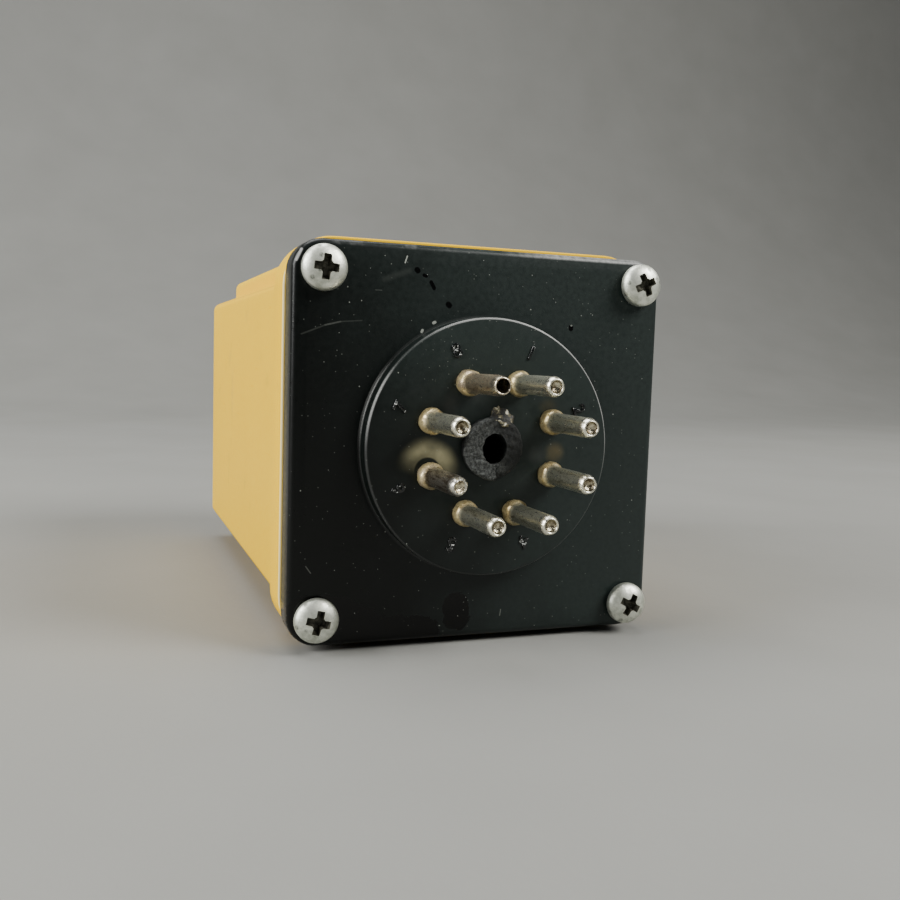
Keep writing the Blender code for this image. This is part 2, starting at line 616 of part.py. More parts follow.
def make_coil(steel, zinc, nylon, copper, tape, brass):
    at = (COIL_X, 0, AXIS_HEIGHT)
    pole_front = YOKE_BACK - POLE_THICKNESS
    groove = YOKE_BACK - RING_DEPTH - GAP
    tail_end = YOKE_FRONT - CORE_TAIL_LENGTH + YOKE_THICKNESS
    core = [
        (0, tail_end),
        (CORE_TAIL_RADIUS, tail_end),
        (CORE_TAIL_RADIUS, YOKE_FRONT + YOKE_THICKNESS + GAP),
        (CORE_RADIUS, YOKE_FRONT + YOKE_THICKNESS + GAP),
        (CORE_RADIUS, pole_front),
        (POLE_RADIUS, pole_front),
        (POLE_RADIUS, YOKE_BACK),
        (RING_OUTER + GAP, YOKE_BACK),
        (RING_OUTER + GAP, groove),
        (RING_INNER - GAP, groove),
        (RING_INNER - GAP, YOKE_BACK),
        (0, YOKE_BACK),
    ]
    add_piece("core", turned(core, COIL_SIDES), steel, at=at)
    ring = [(RING_INNER, groove + GAP), (RING_OUTER, groove + GAP),
            (RING_OUTER, YOKE_BACK), (RING_INNER, YOKE_BACK)]
    add_piece("shading_ring", turned(ring, COIL_SIDES), copper, at=at)

    hexagon = [(NUT_ACROSS_FLATS / math.sqrt(3) * math.cos(math.radians(60 * step)),
                NUT_ACROSS_FLATS / math.sqrt(3) * math.sin(math.radians(60 * step)))
               for step in range(6)]
    nut = prism(hexagon, YOKE_FRONT - GAP - NUT_THICKNESS, YOKE_FRONT - GAP)
    nut_hole = cylinder(CORE_TAIL_RADIUS + GAP, YOKE_FRONT - NUT_THICKNESS - 2 * GAP, YOKE_FRONT)
    add_piece("core_nut", cut(nut, [nut_hole]), zinc, at=at)

    tube_inner = CORE_RADIUS + GAP
    tube_outer = tube_inner + BOBBIN_WALL
    front_flange = BOBBIN_FRONT + BOBBIN_FLANGE
    back_flange = BOBBIN_BACK - BOBBIN_FLANGE
    spool = [(tube_inner, BOBBIN_FRONT), (BOBBIN_RADIUS, BOBBIN_FRONT),
             (BOBBIN_RADIUS, front_flange), (tube_outer, front_flange),
             (tube_outer, back_flange), (BOBBIN_RADIUS, back_flange),
             (BOBBIN_RADIUS, BOBBIN_BACK), (tube_inner, BOBBIN_BACK)]
    ear = box((-EAR_REACH, BOBBIN_FRONT, -EAR_HALF_WIDTH),
              (-tube_outer, front_flange, EAR_HALF_WIDTH))
    terminal_x = terminal_offset()
    sockets = [moved(cylinder(TERMINAL_RADIUS + GAP, BOBBIN_FRONT - GAP, front_flange + GAP,
                              SMALL_SIDES), (-terminal_x, 0, side * TERMINAL_SPREAD))
               for side in POLES]
    add_piece("bobbin", cut(joined(turned(spool, COIL_SIDES), [ear]), sockets), nylon, at=at)
    for side in POLES:
        terminal = cylinder(TERMINAL_RADIUS, front_flange - TERMINAL_LENGTH, front_flange, 10)
        add_piece(f"coil_terminal_{POLES.index(side) + 1}", terminal, brass,
                  at=(COIL_X - terminal_x, 0, AXIS_HEIGHT + side * TERMINAL_SPREAD))

    winding = [(tube_outer + GAP, front_flange + GAP), (COIL_RADIUS, front_flange + GAP),
               (COIL_RADIUS, back_flange - GAP), (tube_outer + GAP, back_flange - GAP)]
    add_piece("coil_winding", turned(winding, COIL_SIDES), copper, at=at)
    wrap = [(COIL_RADIUS + GAP, front_flange + GAP), (TAPE_RADIUS, front_flange + GAP),
            (TAPE_RADIUS, back_flange - GAP), (COIL_RADIUS + GAP, back_flange - GAP)]
    add_piece("coil_tape", turned(wrap, COIL_SIDES), tape, at=at)


def terminal_offset():
    """Distance of the coil terminals from the coil's axis, clear of the yoke's foot."""
    return EAR_REACH - TERMINAL_RADIUS - 2 * GAP


# Armature, spring and contacts

def add_pivot():
    """The armature's hinge line. Its pieces are laid out closed, and the pivot opens them."""
    pivot = bpy.data.objects.new("armature_pivot", None)
    pivot.location = (PIVOT_X, PIVOT_Y, AXIS_HEIGHT)
    pivot.rotation_euler = (0, 0, -ARMATURE_TRAVEL)
    bpy.context.collection.objects.link(pivot)
    return pivot


def from_pivot(x, y, z=0):
    return (x - PIVOT_X, y - PIVOT_Y, z)


def make_armature(steel, pivot):
    left = COIL_X - POLE_RADIUS - ARMATURE_OVERHANG
    plate_front = YOKE_BACK + GAP
    plate_back = plate_front + ARMATURE_THICKNESS
    half = ARMATURE_WIDTH / 2
    plate = box(from_pivot(left, plate_front, -half),
                from_pivot(ARMATURE_LEG_OUTER, plate_back, half))
    leg = box(from_pivot(ARMATURE_LEG_INNER, BAR_FRONT, -half),
              from_pivot(ARMATURE_LEG_OUTER, plate_back, half))
    bar_half = ARMATURE_BAR_WIDTH / 2
    bar = box(from_pivot(ARMATURE_LEG_INNER, BAR_FRONT, -bar_half),
              from_pivot(ARMATURE_LEG_OUTER, BAR_FRONT + ARMATURE_BAR_HEIGHT, bar_half))
    tab = box(from_pivot(ARMATURE_LEG_INNER, plate_front, -TAB_HALF_WIDTH),
              from_pivot(SPRING_X + TAB_BEYOND, plate_back, TAB_HALF_WIDTH))
    window = box(from_pivot(ARMATURE_LEG_INNER - GAP, BAR_FRONT + ARMATURE_BAR_HEIGHT,
                            -WINDOW_WIDTH / 2),
                 from_pivot(ARMATURE_LEG_OUTER + GAP, plate_front - WINDOW_MARGIN,
                            WINDOW_WIDTH / 2))
    eye = moved(cylinder(SPRING_EYE, plate_front - GAP, plate_back + GAP, SMALL_SIDES),
                from_pivot(SPRING_X, 0, 0))
    rivets = [moved(cylinder(CARD_RIVET_RADIUS + GAP, ARMATURE_LEG_INNER - GAP,
                             ARMATURE_LEG_OUTER + GAP, SMALL_SIDES, "X"),
                    (-PIVOT_X, rivet_line() - PIVOT_Y, side * CARD_RIVET_SPREAD))
              for side in POLES]
    shape = cut(joined(plate, [leg, bar, tab]), [window, eye] + rivets)
    add_piece("armature", shape, steel, pivot)


def rivet_line():
    return (CARD_FRONT + CARD_BACK) / 2


def make_card(phenolic, brass, pivot):
    """The insulating card that the armature's leg carries, and its two rivets."""
    card = box(from_pivot(CARD_INNER, CARD_FRONT, -CARD_HALF_WIDTH),
               from_pivot(CARD_OUTER, CARD_BACK, CARD_HALF_WIDTH))
    cuts = []
    for side in POLES:
        middle = side * BLADE_SPREAD
        reach_x = MOVING_BLADE / 2 + GAP
        reach_z = BLADE_WIDTH / 2 + GAP
        cuts.append(box(from_pivot(MOVING_X - reach_x, CARD_FRONT - GAP, middle - reach_z),
                        from_pivot(MOVING_X + reach_x, CARD_BACK + GAP, middle + reach_z)))
        cuts.append(moved(cylinder(CARD_RIVET_RADIUS + GAP, CARD_INNER - GAP, CARD_OUTER + GAP,
                                   SMALL_SIDES, "X"),
                          (-PIVOT_X, rivet_line() - PIVOT_Y, side * CARD_RIVET_SPREAD)))
        shank_start = ARMATURE_LEG_INNER + GAP / 2
        head_start = CARD_OUTER + GAP
        profile = [(0, shank_start), (CARD_RIVET_RADIUS, shank_start),
                   (CARD_RIVET_RADIUS, head_start), (CARD_RIVET_HEAD, head_start),
                   (CARD_RIVET_HEAD, head_start + CARD_RIVET_RADIUS / 2),
                   (CARD_RIVET_HEAD / 2, head_start + CARD_RIVET_RADIUS),
                   (0, head_start + CARD_RIVET_RADIUS)]
        rivet = moved(turned(profile, SMALL_SIDES, "X"),
                      (-PIVOT_X, rivet_line() - PIVOT_Y, side * CARD_RIVET_SPREAD))
        add_piece(f"card_rivet_{POLES.index(side) + 1}", rivet, brass, pivot)
    add_piece("contact_card", cut(card, cuts), phenolic, pivot)


def make_moving_contacts(bronze, silver, pivot):
    half = MOVING_BLADE / 2
    for side in POLES:
        name = POLES.index(side) + 1
        middle = side * BLADE_SPREAD
        blade = box(from_pivot(MOVING_X - half, CONTACT_Y - BLADE_BEYOND_CONTACT,
                               middle - BLADE_WIDTH / 2),
                    from_pivot(MOVING_X + half, CARD_BACK + BLADE_ABOVE_CARD,
                               middle + BLADE_WIDTH / 2))
        hole = moved(cylinder(CONTACT_SHANK + GAP, -half - GAP, half + GAP, SMALL_SIDES, "X"),
                     from_pivot(MOVING_X, CONTACT_Y, middle))
        add_piece(f"moving_blade_{name}", cut(blade, [hole]), bronze, pivot)
        face = half + CONTACT_HEAD
        button = [(0, -face), (CONTACT_RADIUS - GAP, -face), (CONTACT_RADIUS, -half - 2 * GAP),
                  (CONTACT_RADIUS, -half - GAP), (CONTACT_SHANK, -half - GAP),
                  (CONTACT_SHANK, half + GAP), (CONTACT_RADIUS, half + GAP),
                  (CONTACT_RADIUS, half + 2 * GAP), (CONTACT_RADIUS - GAP, face), (0, face)]
        contact = moved(turned(button, SMALL_SIDES, "X"), from_pivot(MOVING_X, CONTACT_Y, middle))
        add_piece(f"moving_contact_{name}", contact, silver, pivot)


def make_fixed_contacts(phenolic, brass, silver, zinc):
    """The block on the plate, and the four blades that stand in it."""
    block = box((BLOCK_LEFT, BLOCK_FRONT, -BLOCK_HALF_WIDTH),
                (BLOCK_RIGHT, BLOCK_BACK, BLOCK_HALF_WIDTH))
    cuts = []
    blade_front = BLOCK_FRONT + BLOCK_FLOOR + GAP
    blade_back = CONTACT_Y + BLADE_BEYOND_CONTACT
    lug = (PLATE_BACK + LUG_LINE - LUG_HEIGHT / 2, PLATE_BACK + LUG_LINE + LUG_HEIGHT / 2)
    for kind, (x, face, toward) in FIXED_CONTACTS.items():
        for side in POLES:
            name = f"{kind}_{POLES.index(side) + 1}"
            inner = side * (BLADE_SPREAD - BLADE_WIDTH / 2)
            outer = side * (BLADE_SPREAD + BLADE_WIDTH / 2)
            tip = outer + side * LUG_REACH
            outline = [(blade_front, inner), (blade_back, inner), (blade_back, outer),
                       (lug[1], outer), (lug[1], tip), (lug[0], tip), (lug[0], outer),
                       (blade_front, outer)]
            blade = prism(outline, x - FIXED_BLADE / 2, x + FIXED_BLADE / 2, "X")
            hole = moved(cylinder(CONTACT_SHANK + GAP, x - FIXED_BLADE, x + FIXED_BLADE,
                                  SMALL_SIDES, "X"), (0, CONTACT_Y, side * BLADE_SPREAD))
            add_piece(f"fixed_blade_{name}", cut(blade, [hole]), brass, at=(0, 0, AXIS_HEIGHT))
            low, high = sorted((inner, outer))
            cuts.append(box((x - FIXED_BLADE / 2 - GAP, BLOCK_FRONT + BLOCK_FLOOR, low - GAP),
                            (x + FIXED_BLADE / 2 + GAP, BLOCK_BACK + GAP, high + GAP)))
            make_fixed_rivet(f"fixed_contact_{name}", silver, face, toward, side)
    for number, x in enumerate(block_screw_places(), start=1):
        hole = cylinder(SMALL_SCREW_RADIUS + GAP, BLOCK_FRONT - GAP, BLOCK_BACK + GAP, SMALL_SIDES)
        cuts.append(moved(hole, (x, 0, 0)))
        slotted_screw(f"block_screw_{number}", zinc, (x, BLOCK_BACK + GAP, AXIS_HEIGHT),
                      BLOCK_HEIGHT + BLOCK_SCREW_REACH)
    add_piece("contact_block", moved(cut(block, cuts), (0, 0, AXIS_HEIGHT)), phenolic)


def make_fixed_rivet(name, silver, face, toward, side):
    """A contact rivet whose face looks along toward, in X."""
    seat = CONTACT_HEAD
    back = CONTACT_HEAD + FIXED_BLADE + 2 * GAP
    profile = [(0, 0), (CONTACT_RADIUS - GAP, 0), (CONTACT_RADIUS, GAP), (CONTACT_RADIUS, seat),
               (CONTACT_SHANK, seat), (CONTACT_SHANK, back), (CONTACT_TAIL_RADIUS, back),
               (CONTACT_TAIL_RADIUS, back + CONTACT_TAIL), (0, back + CONTACT_TAIL)]
    profile = [(radius, -toward * along) for radius, along in profile]
    add_piece(name, turned(profile, SMALL_SIDES, "X"), silver,
              at=(face, CONTACT_Y, AXIS_HEIGHT + side * BLADE_SPREAD))


def block_screw_places():
    middle = (BLOCK_LEFT + BLOCK_RIGHT) / 2
    return [middle - BLOCK_SCREW_OFFSET, middle + BLOCK_SCREW_OFFSET]


def swept(name, points, radius, material, resolution=1):
    """A round wire along a list of points, with flat ends."""
    curve = bpy.data.curves.new(name, "CURVE")
    curve.dimensions = "3D"
    curve.bevel_depth = radius
    curve.bevel_resolution = resolution
    curve.use_fill_caps = True
    spline = curve.splines.new("POLY")
    spline.points.add(len(points) - 1)
    for point, place in zip(spline.points, points):
        point.co = (*place, 1)
    curve.materials.append(material)
    wire = bpy.data.objects.new(name, curve)
    bpy.context.collection.objects.link(wire)
    return wire


def make_spring(steel):
    """A close-wound spring from the yoke's lug to the armature's tab, through both eyes."""
    tab_x, tab_front = open_place(SPRING_X, YOKE_BACK + GAP)
    start = Vector((SPRING_X, LUG_BACK, AXIS_HEIGHT))
    end = Vector((tab_x, tab_front, AXIS_HEIGHT))
    points = [start - Vector((0, LUG_THICKNESS + GAP, 0)), start + Vector((0, GAP, 0))]
    coil_start = start.y + SPRING_END
    coil_end = end.y - SPRING_END
    count = SPRING_TURNS * SPRING_STEPS
    for step in range(count + 1):
        share = step / count
        turn = 2 * math.pi * SPRING_TURNS * share
        points.append(Vector((start.x + (end.x - start.x) * share + SPRING_RADIUS * math.cos(turn),
                              coil_start + (coil_end - coil_start) * share,
                              AXIS_HEIGHT + SPRING_RADIUS * math.sin(turn))))
    points += [end - Vector((0, GAP, 0)), end + Vector((0, ARMATURE_THICKNESS + GAP, 0))]
    swept("return_spring", points, SPRING_WIRE, steel)


# Lead wires

def lead_routes():
    """Each wire's own points, from its pin to its terminal. Heights are from the plate's back."""
    def low(x, depth, z):
        return Vector((x * MM, PLATE_BACK + depth * MM, AXIS_HEIGHT + z * MM))

    lug_end = BLADE_SPREAD + BLADE_WIDTH / 2 + LUG_REACH + GAP
    blade_edge = BLADE_SPREAD + BLADE_WIDTH / 2 + GAP
    blade_top = open_place(MOVING_X, CARD_BACK + BLADE_ABOVE_CARD / 2)
    terminal = COIL_X - terminal_offset()
    terminal_front = BOBBIN_FRONT + BOBBIN_FLANGE - TERMINAL_LENGTH - GAP

    def common(side):
        away = AXIS_HEIGHT + side * blade_edge
        return [Vector((blade_top[0], blade_top[1] - LEAD_TURN[0], away + side * LEAD_TURN[1])),
                Vector((blade_top[0], blade_top[1], away))]

    def fixed(x, side):
        away = AXIS_HEIGHT + side * lug_end
        lug_y = PLATE_BACK + LUG_LINE
        return [Vector((x, lug_y - LEAD_LUG_TURN[0], away + side * LEAD_LUG_TURN[1])),
                Vector((x, lug_y, away))]

    def coil(side):
        return [Vector((terminal, terminal_front, AXIS_HEIGHT + side * TERMINAL_SPREAD))]

    return {
        1: [low(3.2, 3.8, 11), low(5.5, 3.9, 14), low(10, 3.6, 15), low(14.5, 6.5, 15.6),
            low(15.6, 12, 15.4), low(15.8, 30, 14.8)] + common(1),
        2: [low(5.5, 4.1, 1.4), low(0, 4.1, 0), low(-8, 4.1, -1.6), low(-14, 4.2, -3.6)]
           + coil(-1),
        3: [low(8.3, 5.2, 0), low(8.2, 5.4, 8), low(8.8, 5.4, 13), low(12, 6, 17),
            low(17, 7.4, 17.2)] + fixed(NO_X, 1),
        4: [low(3.6, 6.4, -6), low(4.5, 7.6, 0), low(6.5, 7.9, 9), low(9.4, 8.2, 13.8)]
           + fixed(NC_X, 1),
        5: [low(-1.8, 4.9, -10.4), low(2, 5, -12.6), low(6, 5.6, -14), low(9.6, 8, -14.8)]
           + fixed(NC_X, -1),
        6: [low(-7, 3.5, -7), low(-3, 3.4, -11.5), low(5, 3.6, -16.4), low(13, 5, -17.2),
            low(17.6, 7.6, -17)] + fixed(NO_X, -1),
        7: [low(-11, 4.2, 3.6)] + coil(1),
        8: [low(-1.4, 6.8, 4.5), low(0, 7.2, -3), low(0.6, 7.3, -9), low(3.5, 7.4, -12.6),
            low(9, 6.4, -16.6), low(13.5, 7.4, -17), low(15.4, 12, -15.8),
            low(15.8, 30, -14.8)] + common(-1),
    }


def smoothed(points, steps=3):
    """A curve through the points, as closely spaced places."""
    ends = [points[0]] + list(points) + [points[-1]]
    places = []
    for before, start, end, after in zip(ends, ends[1:], ends[2:], ends[3:]):
        for step in range(steps):
            t = step / steps
            places.append(0.5 * (2 * start + (end - before) * t
                                 + (2 * before - 5 * start + 4 * end - after) * t ** 2
                                 + (3 * start - before - 3 * end + after) * t ** 3))
    return places + [Vector(points[-1])]


def make_leads(insulation):
    for number, route in lead_routes().items():
        tail = PLATE_BACK + PIN_TAIL
        start = [Vector(pin_place(number, tail + along)) for along in (-LEAD_IN_PIN, LEAD_STRAIGHT)]
        swept(f"lead_{number}", start[:1] + smoothed(start[1:] + route), LEAD_RADIUS, insulation)


# The part

def main():
    clear_scene()
    black = finish("black_phenolic", (0.012, 0.013, 0.013), 0.35, 0)
    yellow = finish("yellow_plastic", (0.93, 0.56, 0.15), 0.4, 0)
    tinned = finish("tinned_brass", (0.55, 0.52, 0.45), 0.35, 1)
    zinc = finish("zinc_steel", (0.6, 0.6, 0.58), 0.4, 1)
    steel = finish("soft_steel", (0.5, 0.5, 0.5), 0.45, 1)
    nylon = finish("natural_nylon", (0.75, 0.7, 0.58), 0.5, 0)
    copper = finish("copper", (0.72, 0.33, 0.16), 0.35, 1)
    tape = finish("coil_tape", (0.8, 0.62, 0.2), 0.5, 0)
    brass = finish("brass", (0.75, 0.56, 0.25), 0.35, 1)
    phenolic = finish("brown_phenolic", (0.12, 0.06, 0.03), 0.5, 0)
    bronze = finish("spring_bronze", (0.7, 0.42, 0.2), 0.35, 1)
    silver = finish("contact_silver", (0.8, 0.79, 0.76), 0.3, 1)
    insulation = finish("wire_insulation", (0.6, 0.6, 0.58), 0.55, 0)

    make_base(black)
    make_pins(tinned)
    make_cover(yellow)
    make_cover_screws(zinc)
    make_yoke(steel, zinc)
    make_coil(steel, zinc, nylon, copper, tape, brass)
    pivot = add_pivot()
    make_armature(steel, pivot)
    make_card(phenolic, brass, pivot)
    make_moving_contacts(bronze, silver, pivot)
    make_fixed_contacts(phenolic, brass, silver, zinc)
    make_spring(steel)
    make_leads(insulation)


main()
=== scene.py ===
# Plug-in relay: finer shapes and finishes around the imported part.
# Shapes are drawn in millimetres and brought to metres at the end. The pins point along -Y.
import math

import bmesh
import bpy
from mathutils import Matrix, Vector, noise


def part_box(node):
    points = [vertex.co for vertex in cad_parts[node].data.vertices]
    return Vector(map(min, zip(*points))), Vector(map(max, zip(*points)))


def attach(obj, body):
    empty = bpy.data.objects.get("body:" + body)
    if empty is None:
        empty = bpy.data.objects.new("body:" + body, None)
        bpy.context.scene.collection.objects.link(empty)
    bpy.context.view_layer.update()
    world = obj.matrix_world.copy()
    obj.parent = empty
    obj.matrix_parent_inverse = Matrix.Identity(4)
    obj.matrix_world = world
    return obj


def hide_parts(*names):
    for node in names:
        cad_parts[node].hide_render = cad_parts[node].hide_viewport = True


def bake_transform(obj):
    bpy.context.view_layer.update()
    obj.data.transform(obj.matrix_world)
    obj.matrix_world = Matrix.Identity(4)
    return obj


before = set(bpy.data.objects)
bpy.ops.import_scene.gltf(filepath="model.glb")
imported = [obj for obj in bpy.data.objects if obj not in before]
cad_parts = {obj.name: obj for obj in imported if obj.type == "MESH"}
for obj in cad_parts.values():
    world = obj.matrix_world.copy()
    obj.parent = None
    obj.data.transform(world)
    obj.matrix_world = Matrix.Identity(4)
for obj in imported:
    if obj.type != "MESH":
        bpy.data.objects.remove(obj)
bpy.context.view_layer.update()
print("packed part loaded:", len(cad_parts), "nodes")

metre = 1000                     # millimetres in a metre
axisHeight = 25.5                # middle of the plug above the ground
plateFront, discFace, coverFront = -34.35, -37.15, -29.85   # y of three faces
relayBody, armatureBody = "relay", "armature_assembly"


# Working with pieces

def deselectAll():
    if bpy.context.object is not None and bpy.context.object.mode != "OBJECT":
        bpy.ops.object.mode_set(mode="OBJECT")
    bpy.ops.object.select_all(action="DESELECT")


def makeActive(piece):
    deselectAll()
    piece.select_set(True)
    bpy.context.view_layer.objects.active = piece


def openPiece(piece):
    makeActive(piece)
    bpy.ops.object.mode_set(mode="EDIT")


def closePiece():
    bpy.ops.object.mode_set(mode="OBJECT")


def pick(piece, kind, test):
    bpy.ops.mesh.select_mode(type=kind)
    bpy.ops.mesh.select_all(action="DESELECT")
    shape = bmesh.from_edit_mesh(piece.data)
    for item in {"VERT": shape.verts, "EDGE": shape.edges, "FACE": shape.faces}[kind]:
        if test(item):
            item.select_set(True)
    bmesh.update_edit_mesh(piece.data)


def roundEdges(piece, test, width, steps):
    openPiece(piece)
    pick(piece, "EDGE", test)
    bpy.ops.mesh.bevel(offset=width, segments=steps, profile=0.5, affect="EDGES")
    closePiece()


def alongY(edge):
    line = edge.verts[0].co - edge.verts[1].co
    return abs(line.x) < 0.001 and abs(line.z) < 0.001


def atY(place):
    return lambda edge: all(abs(corner.co.y - place) < 0.001 for corner in edge.verts)


def addBlock(low, high):
    deselectAll()
    low, high = Vector(low), Vector(high)
    bpy.ops.mesh.primitive_cube_add(size=1, location=(low + high) / 2, scale=high - low)
    bpy.ops.object.transform_apply(location=True, rotation=True, scale=True)
    return bpy.context.object


def addRod(radius, start, end, x=0, z=axisHeight, sides=48):
    deselectAll()
    bpy.ops.mesh.primitive_cylinder_add(vertices=sides, radius=radius, depth=end - start,
                                        location=(x, (start + end) / 2, z),
                                        rotation=(math.pi / 2, 0, 0))
    bpy.ops.object.transform_apply(location=True, rotation=True, scale=True)
    return bpy.context.object


def weld(piece):
    openPiece(piece)
    bpy.ops.mesh.select_all(action="SELECT")
    bpy.ops.mesh.remove_doubles(threshold=0.0005)
    bpy.ops.mesh.normals_make_consistent(inside=False)
    closePiece()


def addTurned(profile, sides, x=0, z=axisHeight):
    # a line of (radius, y) points, drawn corner by corner and spun round the Y direction
    deselectAll()
    bpy.ops.mesh.primitive_plane_add(size=0.1)
    piece = bpy.context.object
    openPiece(piece)
    bpy.ops.mesh.select_mode(type="VERT")
    bpy.ops.mesh.select_all(action="SELECT")
    bpy.ops.mesh.merge(type="CENTER")
    bpy.ops.transform.translate(value=(x + profile[0][0], profile[0][1], z))
    for (radius, y), (nextRadius, nextY) in zip(profile, profile[1:]):
        step = (nextRadius - radius, nextY - y, 0)
        bpy.ops.mesh.extrude_vertices_move(TRANSFORM_OT_translate={"value": step})
    bpy.ops.mesh.select_all(action="SELECT")
    bpy.ops.mesh.spin(steps=sides, angle=2 * math.pi, center=(x, 0, z), axis=(0, 1, 0))
    weld(piece)
    return piece


def joinPieces(pieces):
    deselectAll()
    for piece in pieces:
        piece.select_set(True)
    bpy.context.view_layer.objects.active = pieces[0]
    bpy.ops.object.join()
    return bpy.context.object


def combine(piece, others, operation):
    for other in others:
        step = piece.modifiers.new("combine", "BOOLEAN")
        step.operation = operation
        step.solver = "EXACT"
        step.object = other
        makeActive(piece)
        bpy.ops.object.modifier_apply(modifier=step.name)
        bpy.data.objects.remove(other)
    return piece


def softenEdges(piece, width, steps, angle):
    step = piece.modifiers.new("soften", "BEVEL")
    step.width = width
    step.segments = steps
    step.limit_method = "ANGLE"
    step.angle_limit = math.radians(angle)
    makeActive(piece)
    bpy.ops.object.modifier_apply(modifier=step.name)


def roughen(piece, amount, grain, reach, seed=0):
    # pushes each corner that reach picks in or out along its normal
    normals = [corner.normal.copy() for corner in piece.data.vertices]
    for corner, normal in zip(piece.data.vertices, normals):
        if reach(corner.co):
            where = corner.co / grain + Vector((seed * 7.3, seed * 3.1, seed * 5.7))
            push = noise.noise(where) + 0.5 * noise.noise(where * 2.3)
            corner.co += normal * push * amount


def copyPiece(piece):
    twin = piece.copy()
    twin.data = piece.data.copy()
    bpy.context.collection.objects.link(twin)
    return twin


def settle(piece, name, finishes, body=relayBody, nodes=(), sharpAngle=30):
    # millimetres to metres, shading, finishes, and the body that it rides on
    piece.name = piece.data.name = name
    piece.data.transform(Matrix.Scale(1 / metre, 4))
    makeActive(piece)
    bpy.ops.object.shade_smooth_by_angle(angle=math.radians(sharpAngle))
    piece.data.materials.clear()
    for finish in finishes:
        piece.data.materials.append(finish)
    if body:
        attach(piece, body)
    if nodes:
        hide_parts(*nodes)
    return piece


def nodeMiddle(node):
    low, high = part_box(node)
    return (low + high) / 2 * metre


# Working with finishes

def connect(tree, value, socket):
    if isinstance(value, bpy.types.NodeSocket):
        tree.links.new(value, socket)
    else:
        socket.default_value = value


def addNode(tree, kind, inputs, output=0, **settings):
    item = tree.nodes.new("ShaderNode" + kind)
    for name, value in settings.items():
        setattr(item, name, value)
    for name, value in inputs.items():
        connect(tree, value, item.inputs[name])
    return item.outputs[output]


def places(tree, stretch=(1, 1, 1), turn=(0, 0, 0)):
    # where a point is, in millimetres
    spot = tree.nodes.new("ShaderNodeTexCoord").outputs["Object"]
    return addNode(tree, "Mapping", {"Vector": spot, "Rotation": turn,
                                     "Scale": [metre * part for part in stretch]})


def patches(tree, where, scale, detail=3, rough=0.55):
    return addNode(tree, "TexNoise", {"Vector": where, "Scale": scale, "Detail": detail,
                                      "Roughness": rough})


def fade(tree, value, start, end):
    low, high, first, last = (start, end, 0, 1) if start < end else (end, start, 1, 0)
    return addNode(tree, "MapRange", {"Value": value, "From Min": low, "From Max": high,
                                      "To Min": first, "To Max": last},
                   interpolation_type="SMOOTHSTEP")


def between(tree, value, low, high):
    return addNode(tree, "MapRange", {"Value": value, "From Min": 0.3, "From Max": 0.7,
                                      "To Min": low, "To Max": high})


def combined(tree, operation, *values):
    result = values[0]
    for value in values[1:]:
        result = addNode(tree, "Math", {0: result, 1: value}, operation=operation)
    return result


def plus(tree, *values):
    return combined(tree, "ADD", *values)


def minus(tree, first, second):
    return combined(tree, "SUBTRACT", first, second)


def times(tree, *values):
    return combined(tree, "MULTIPLY", *values)


def strongest(tree, *masks):
    return combined(tree, "MAXIMUM", *masks)


def mixed(tree, share, first, second):
    item = tree.nodes.new("ShaderNodeMix")
    item.data_type = "RGBA"
    for index, value in ((0, share), (6, first), (7, second)):
        connect(tree, (*value, 1) if isinstance(value, tuple) else value, item.inputs[index])
    return item.outputs[2]


def awayFrom(tree, where, centre):
    return addNode(tree, "VectorMath", {0: where, 1: centre}, output="Value",
                   operation="DISTANCE")


def dots(tree, where, scale, size, share):
    # small round specks; share is how many cells hold one
    cells = tree.nodes.new("ShaderNodeTexVoronoi")
    tree.links.new(where, cells.inputs["Vector"])
    cells.inputs["Scale"].default_value = scale
    near = fade(tree, cells.outputs["Distance"], size, size * 0.4)
    chance = addNode(tree, "SeparateColor", {"Color": cells.outputs["Color"]})
    return times(tree, near, combined(tree, "LESS_THAN", chance, share))


def stroke(tree, flat, start, end, width, soft=0.4):
    # a band round the line between two (x, z) places; flat has no y in it
    first, line = Vector((start[0], 0, start[1])), Vector((end[0] - start[0], 0, end[1] - start[1]))
    away = addNode(tree, "VectorMath", {0: flat, 1: first}, operation="SUBTRACT")
    along = addNode(tree, "VectorMath", {0: away, 1: line / max(line.length_squared, 1e-6)},
                    output="Value", operation="DOT_PRODUCT")
    share = addNode(tree, "Clamp", {"Value": along})
    nearest = addNode(tree, "VectorMath", {0: line, "Scale": share}, operation="SCALE")
    distance = addNode(tree, "VectorMath", {0: away, 1: nearest}, output="Value",
                       operation="DISTANCE")
    return fade(tree, distance, width, width * (1 - soft))


def across(tree, where):
    return [addNode(tree, "SeparateXYZ", {"Vector": where}, output=index) for index in range(3)]


def newFinish(name, metallic=0.0, specular=0.5):
    finish = bpy.data.materials.new(name)
    finish.use_nodes = True
    shader = finish.node_tree.nodes["Principled BSDF"]
    shader.inputs["Metallic"].default_value = metallic
    shader.inputs["Specular IOR Level"].default_value = specular
    return finish, finish.node_tree


def complete(finish, colour, roughness, relief, depth):
    tree = finish.node_tree
    shader = tree.nodes["Principled BSDF"]
    normal = addNode(tree, "Bump", {"Height": relief, "Distance": depth / metre},
                     output="Normal")
    for socket, value in (("Base Color", colour), ("Roughness", roughness), ("Normal", normal)):
        connect(tree, value, shader.inputs[socket])
    return finish


# Finishes

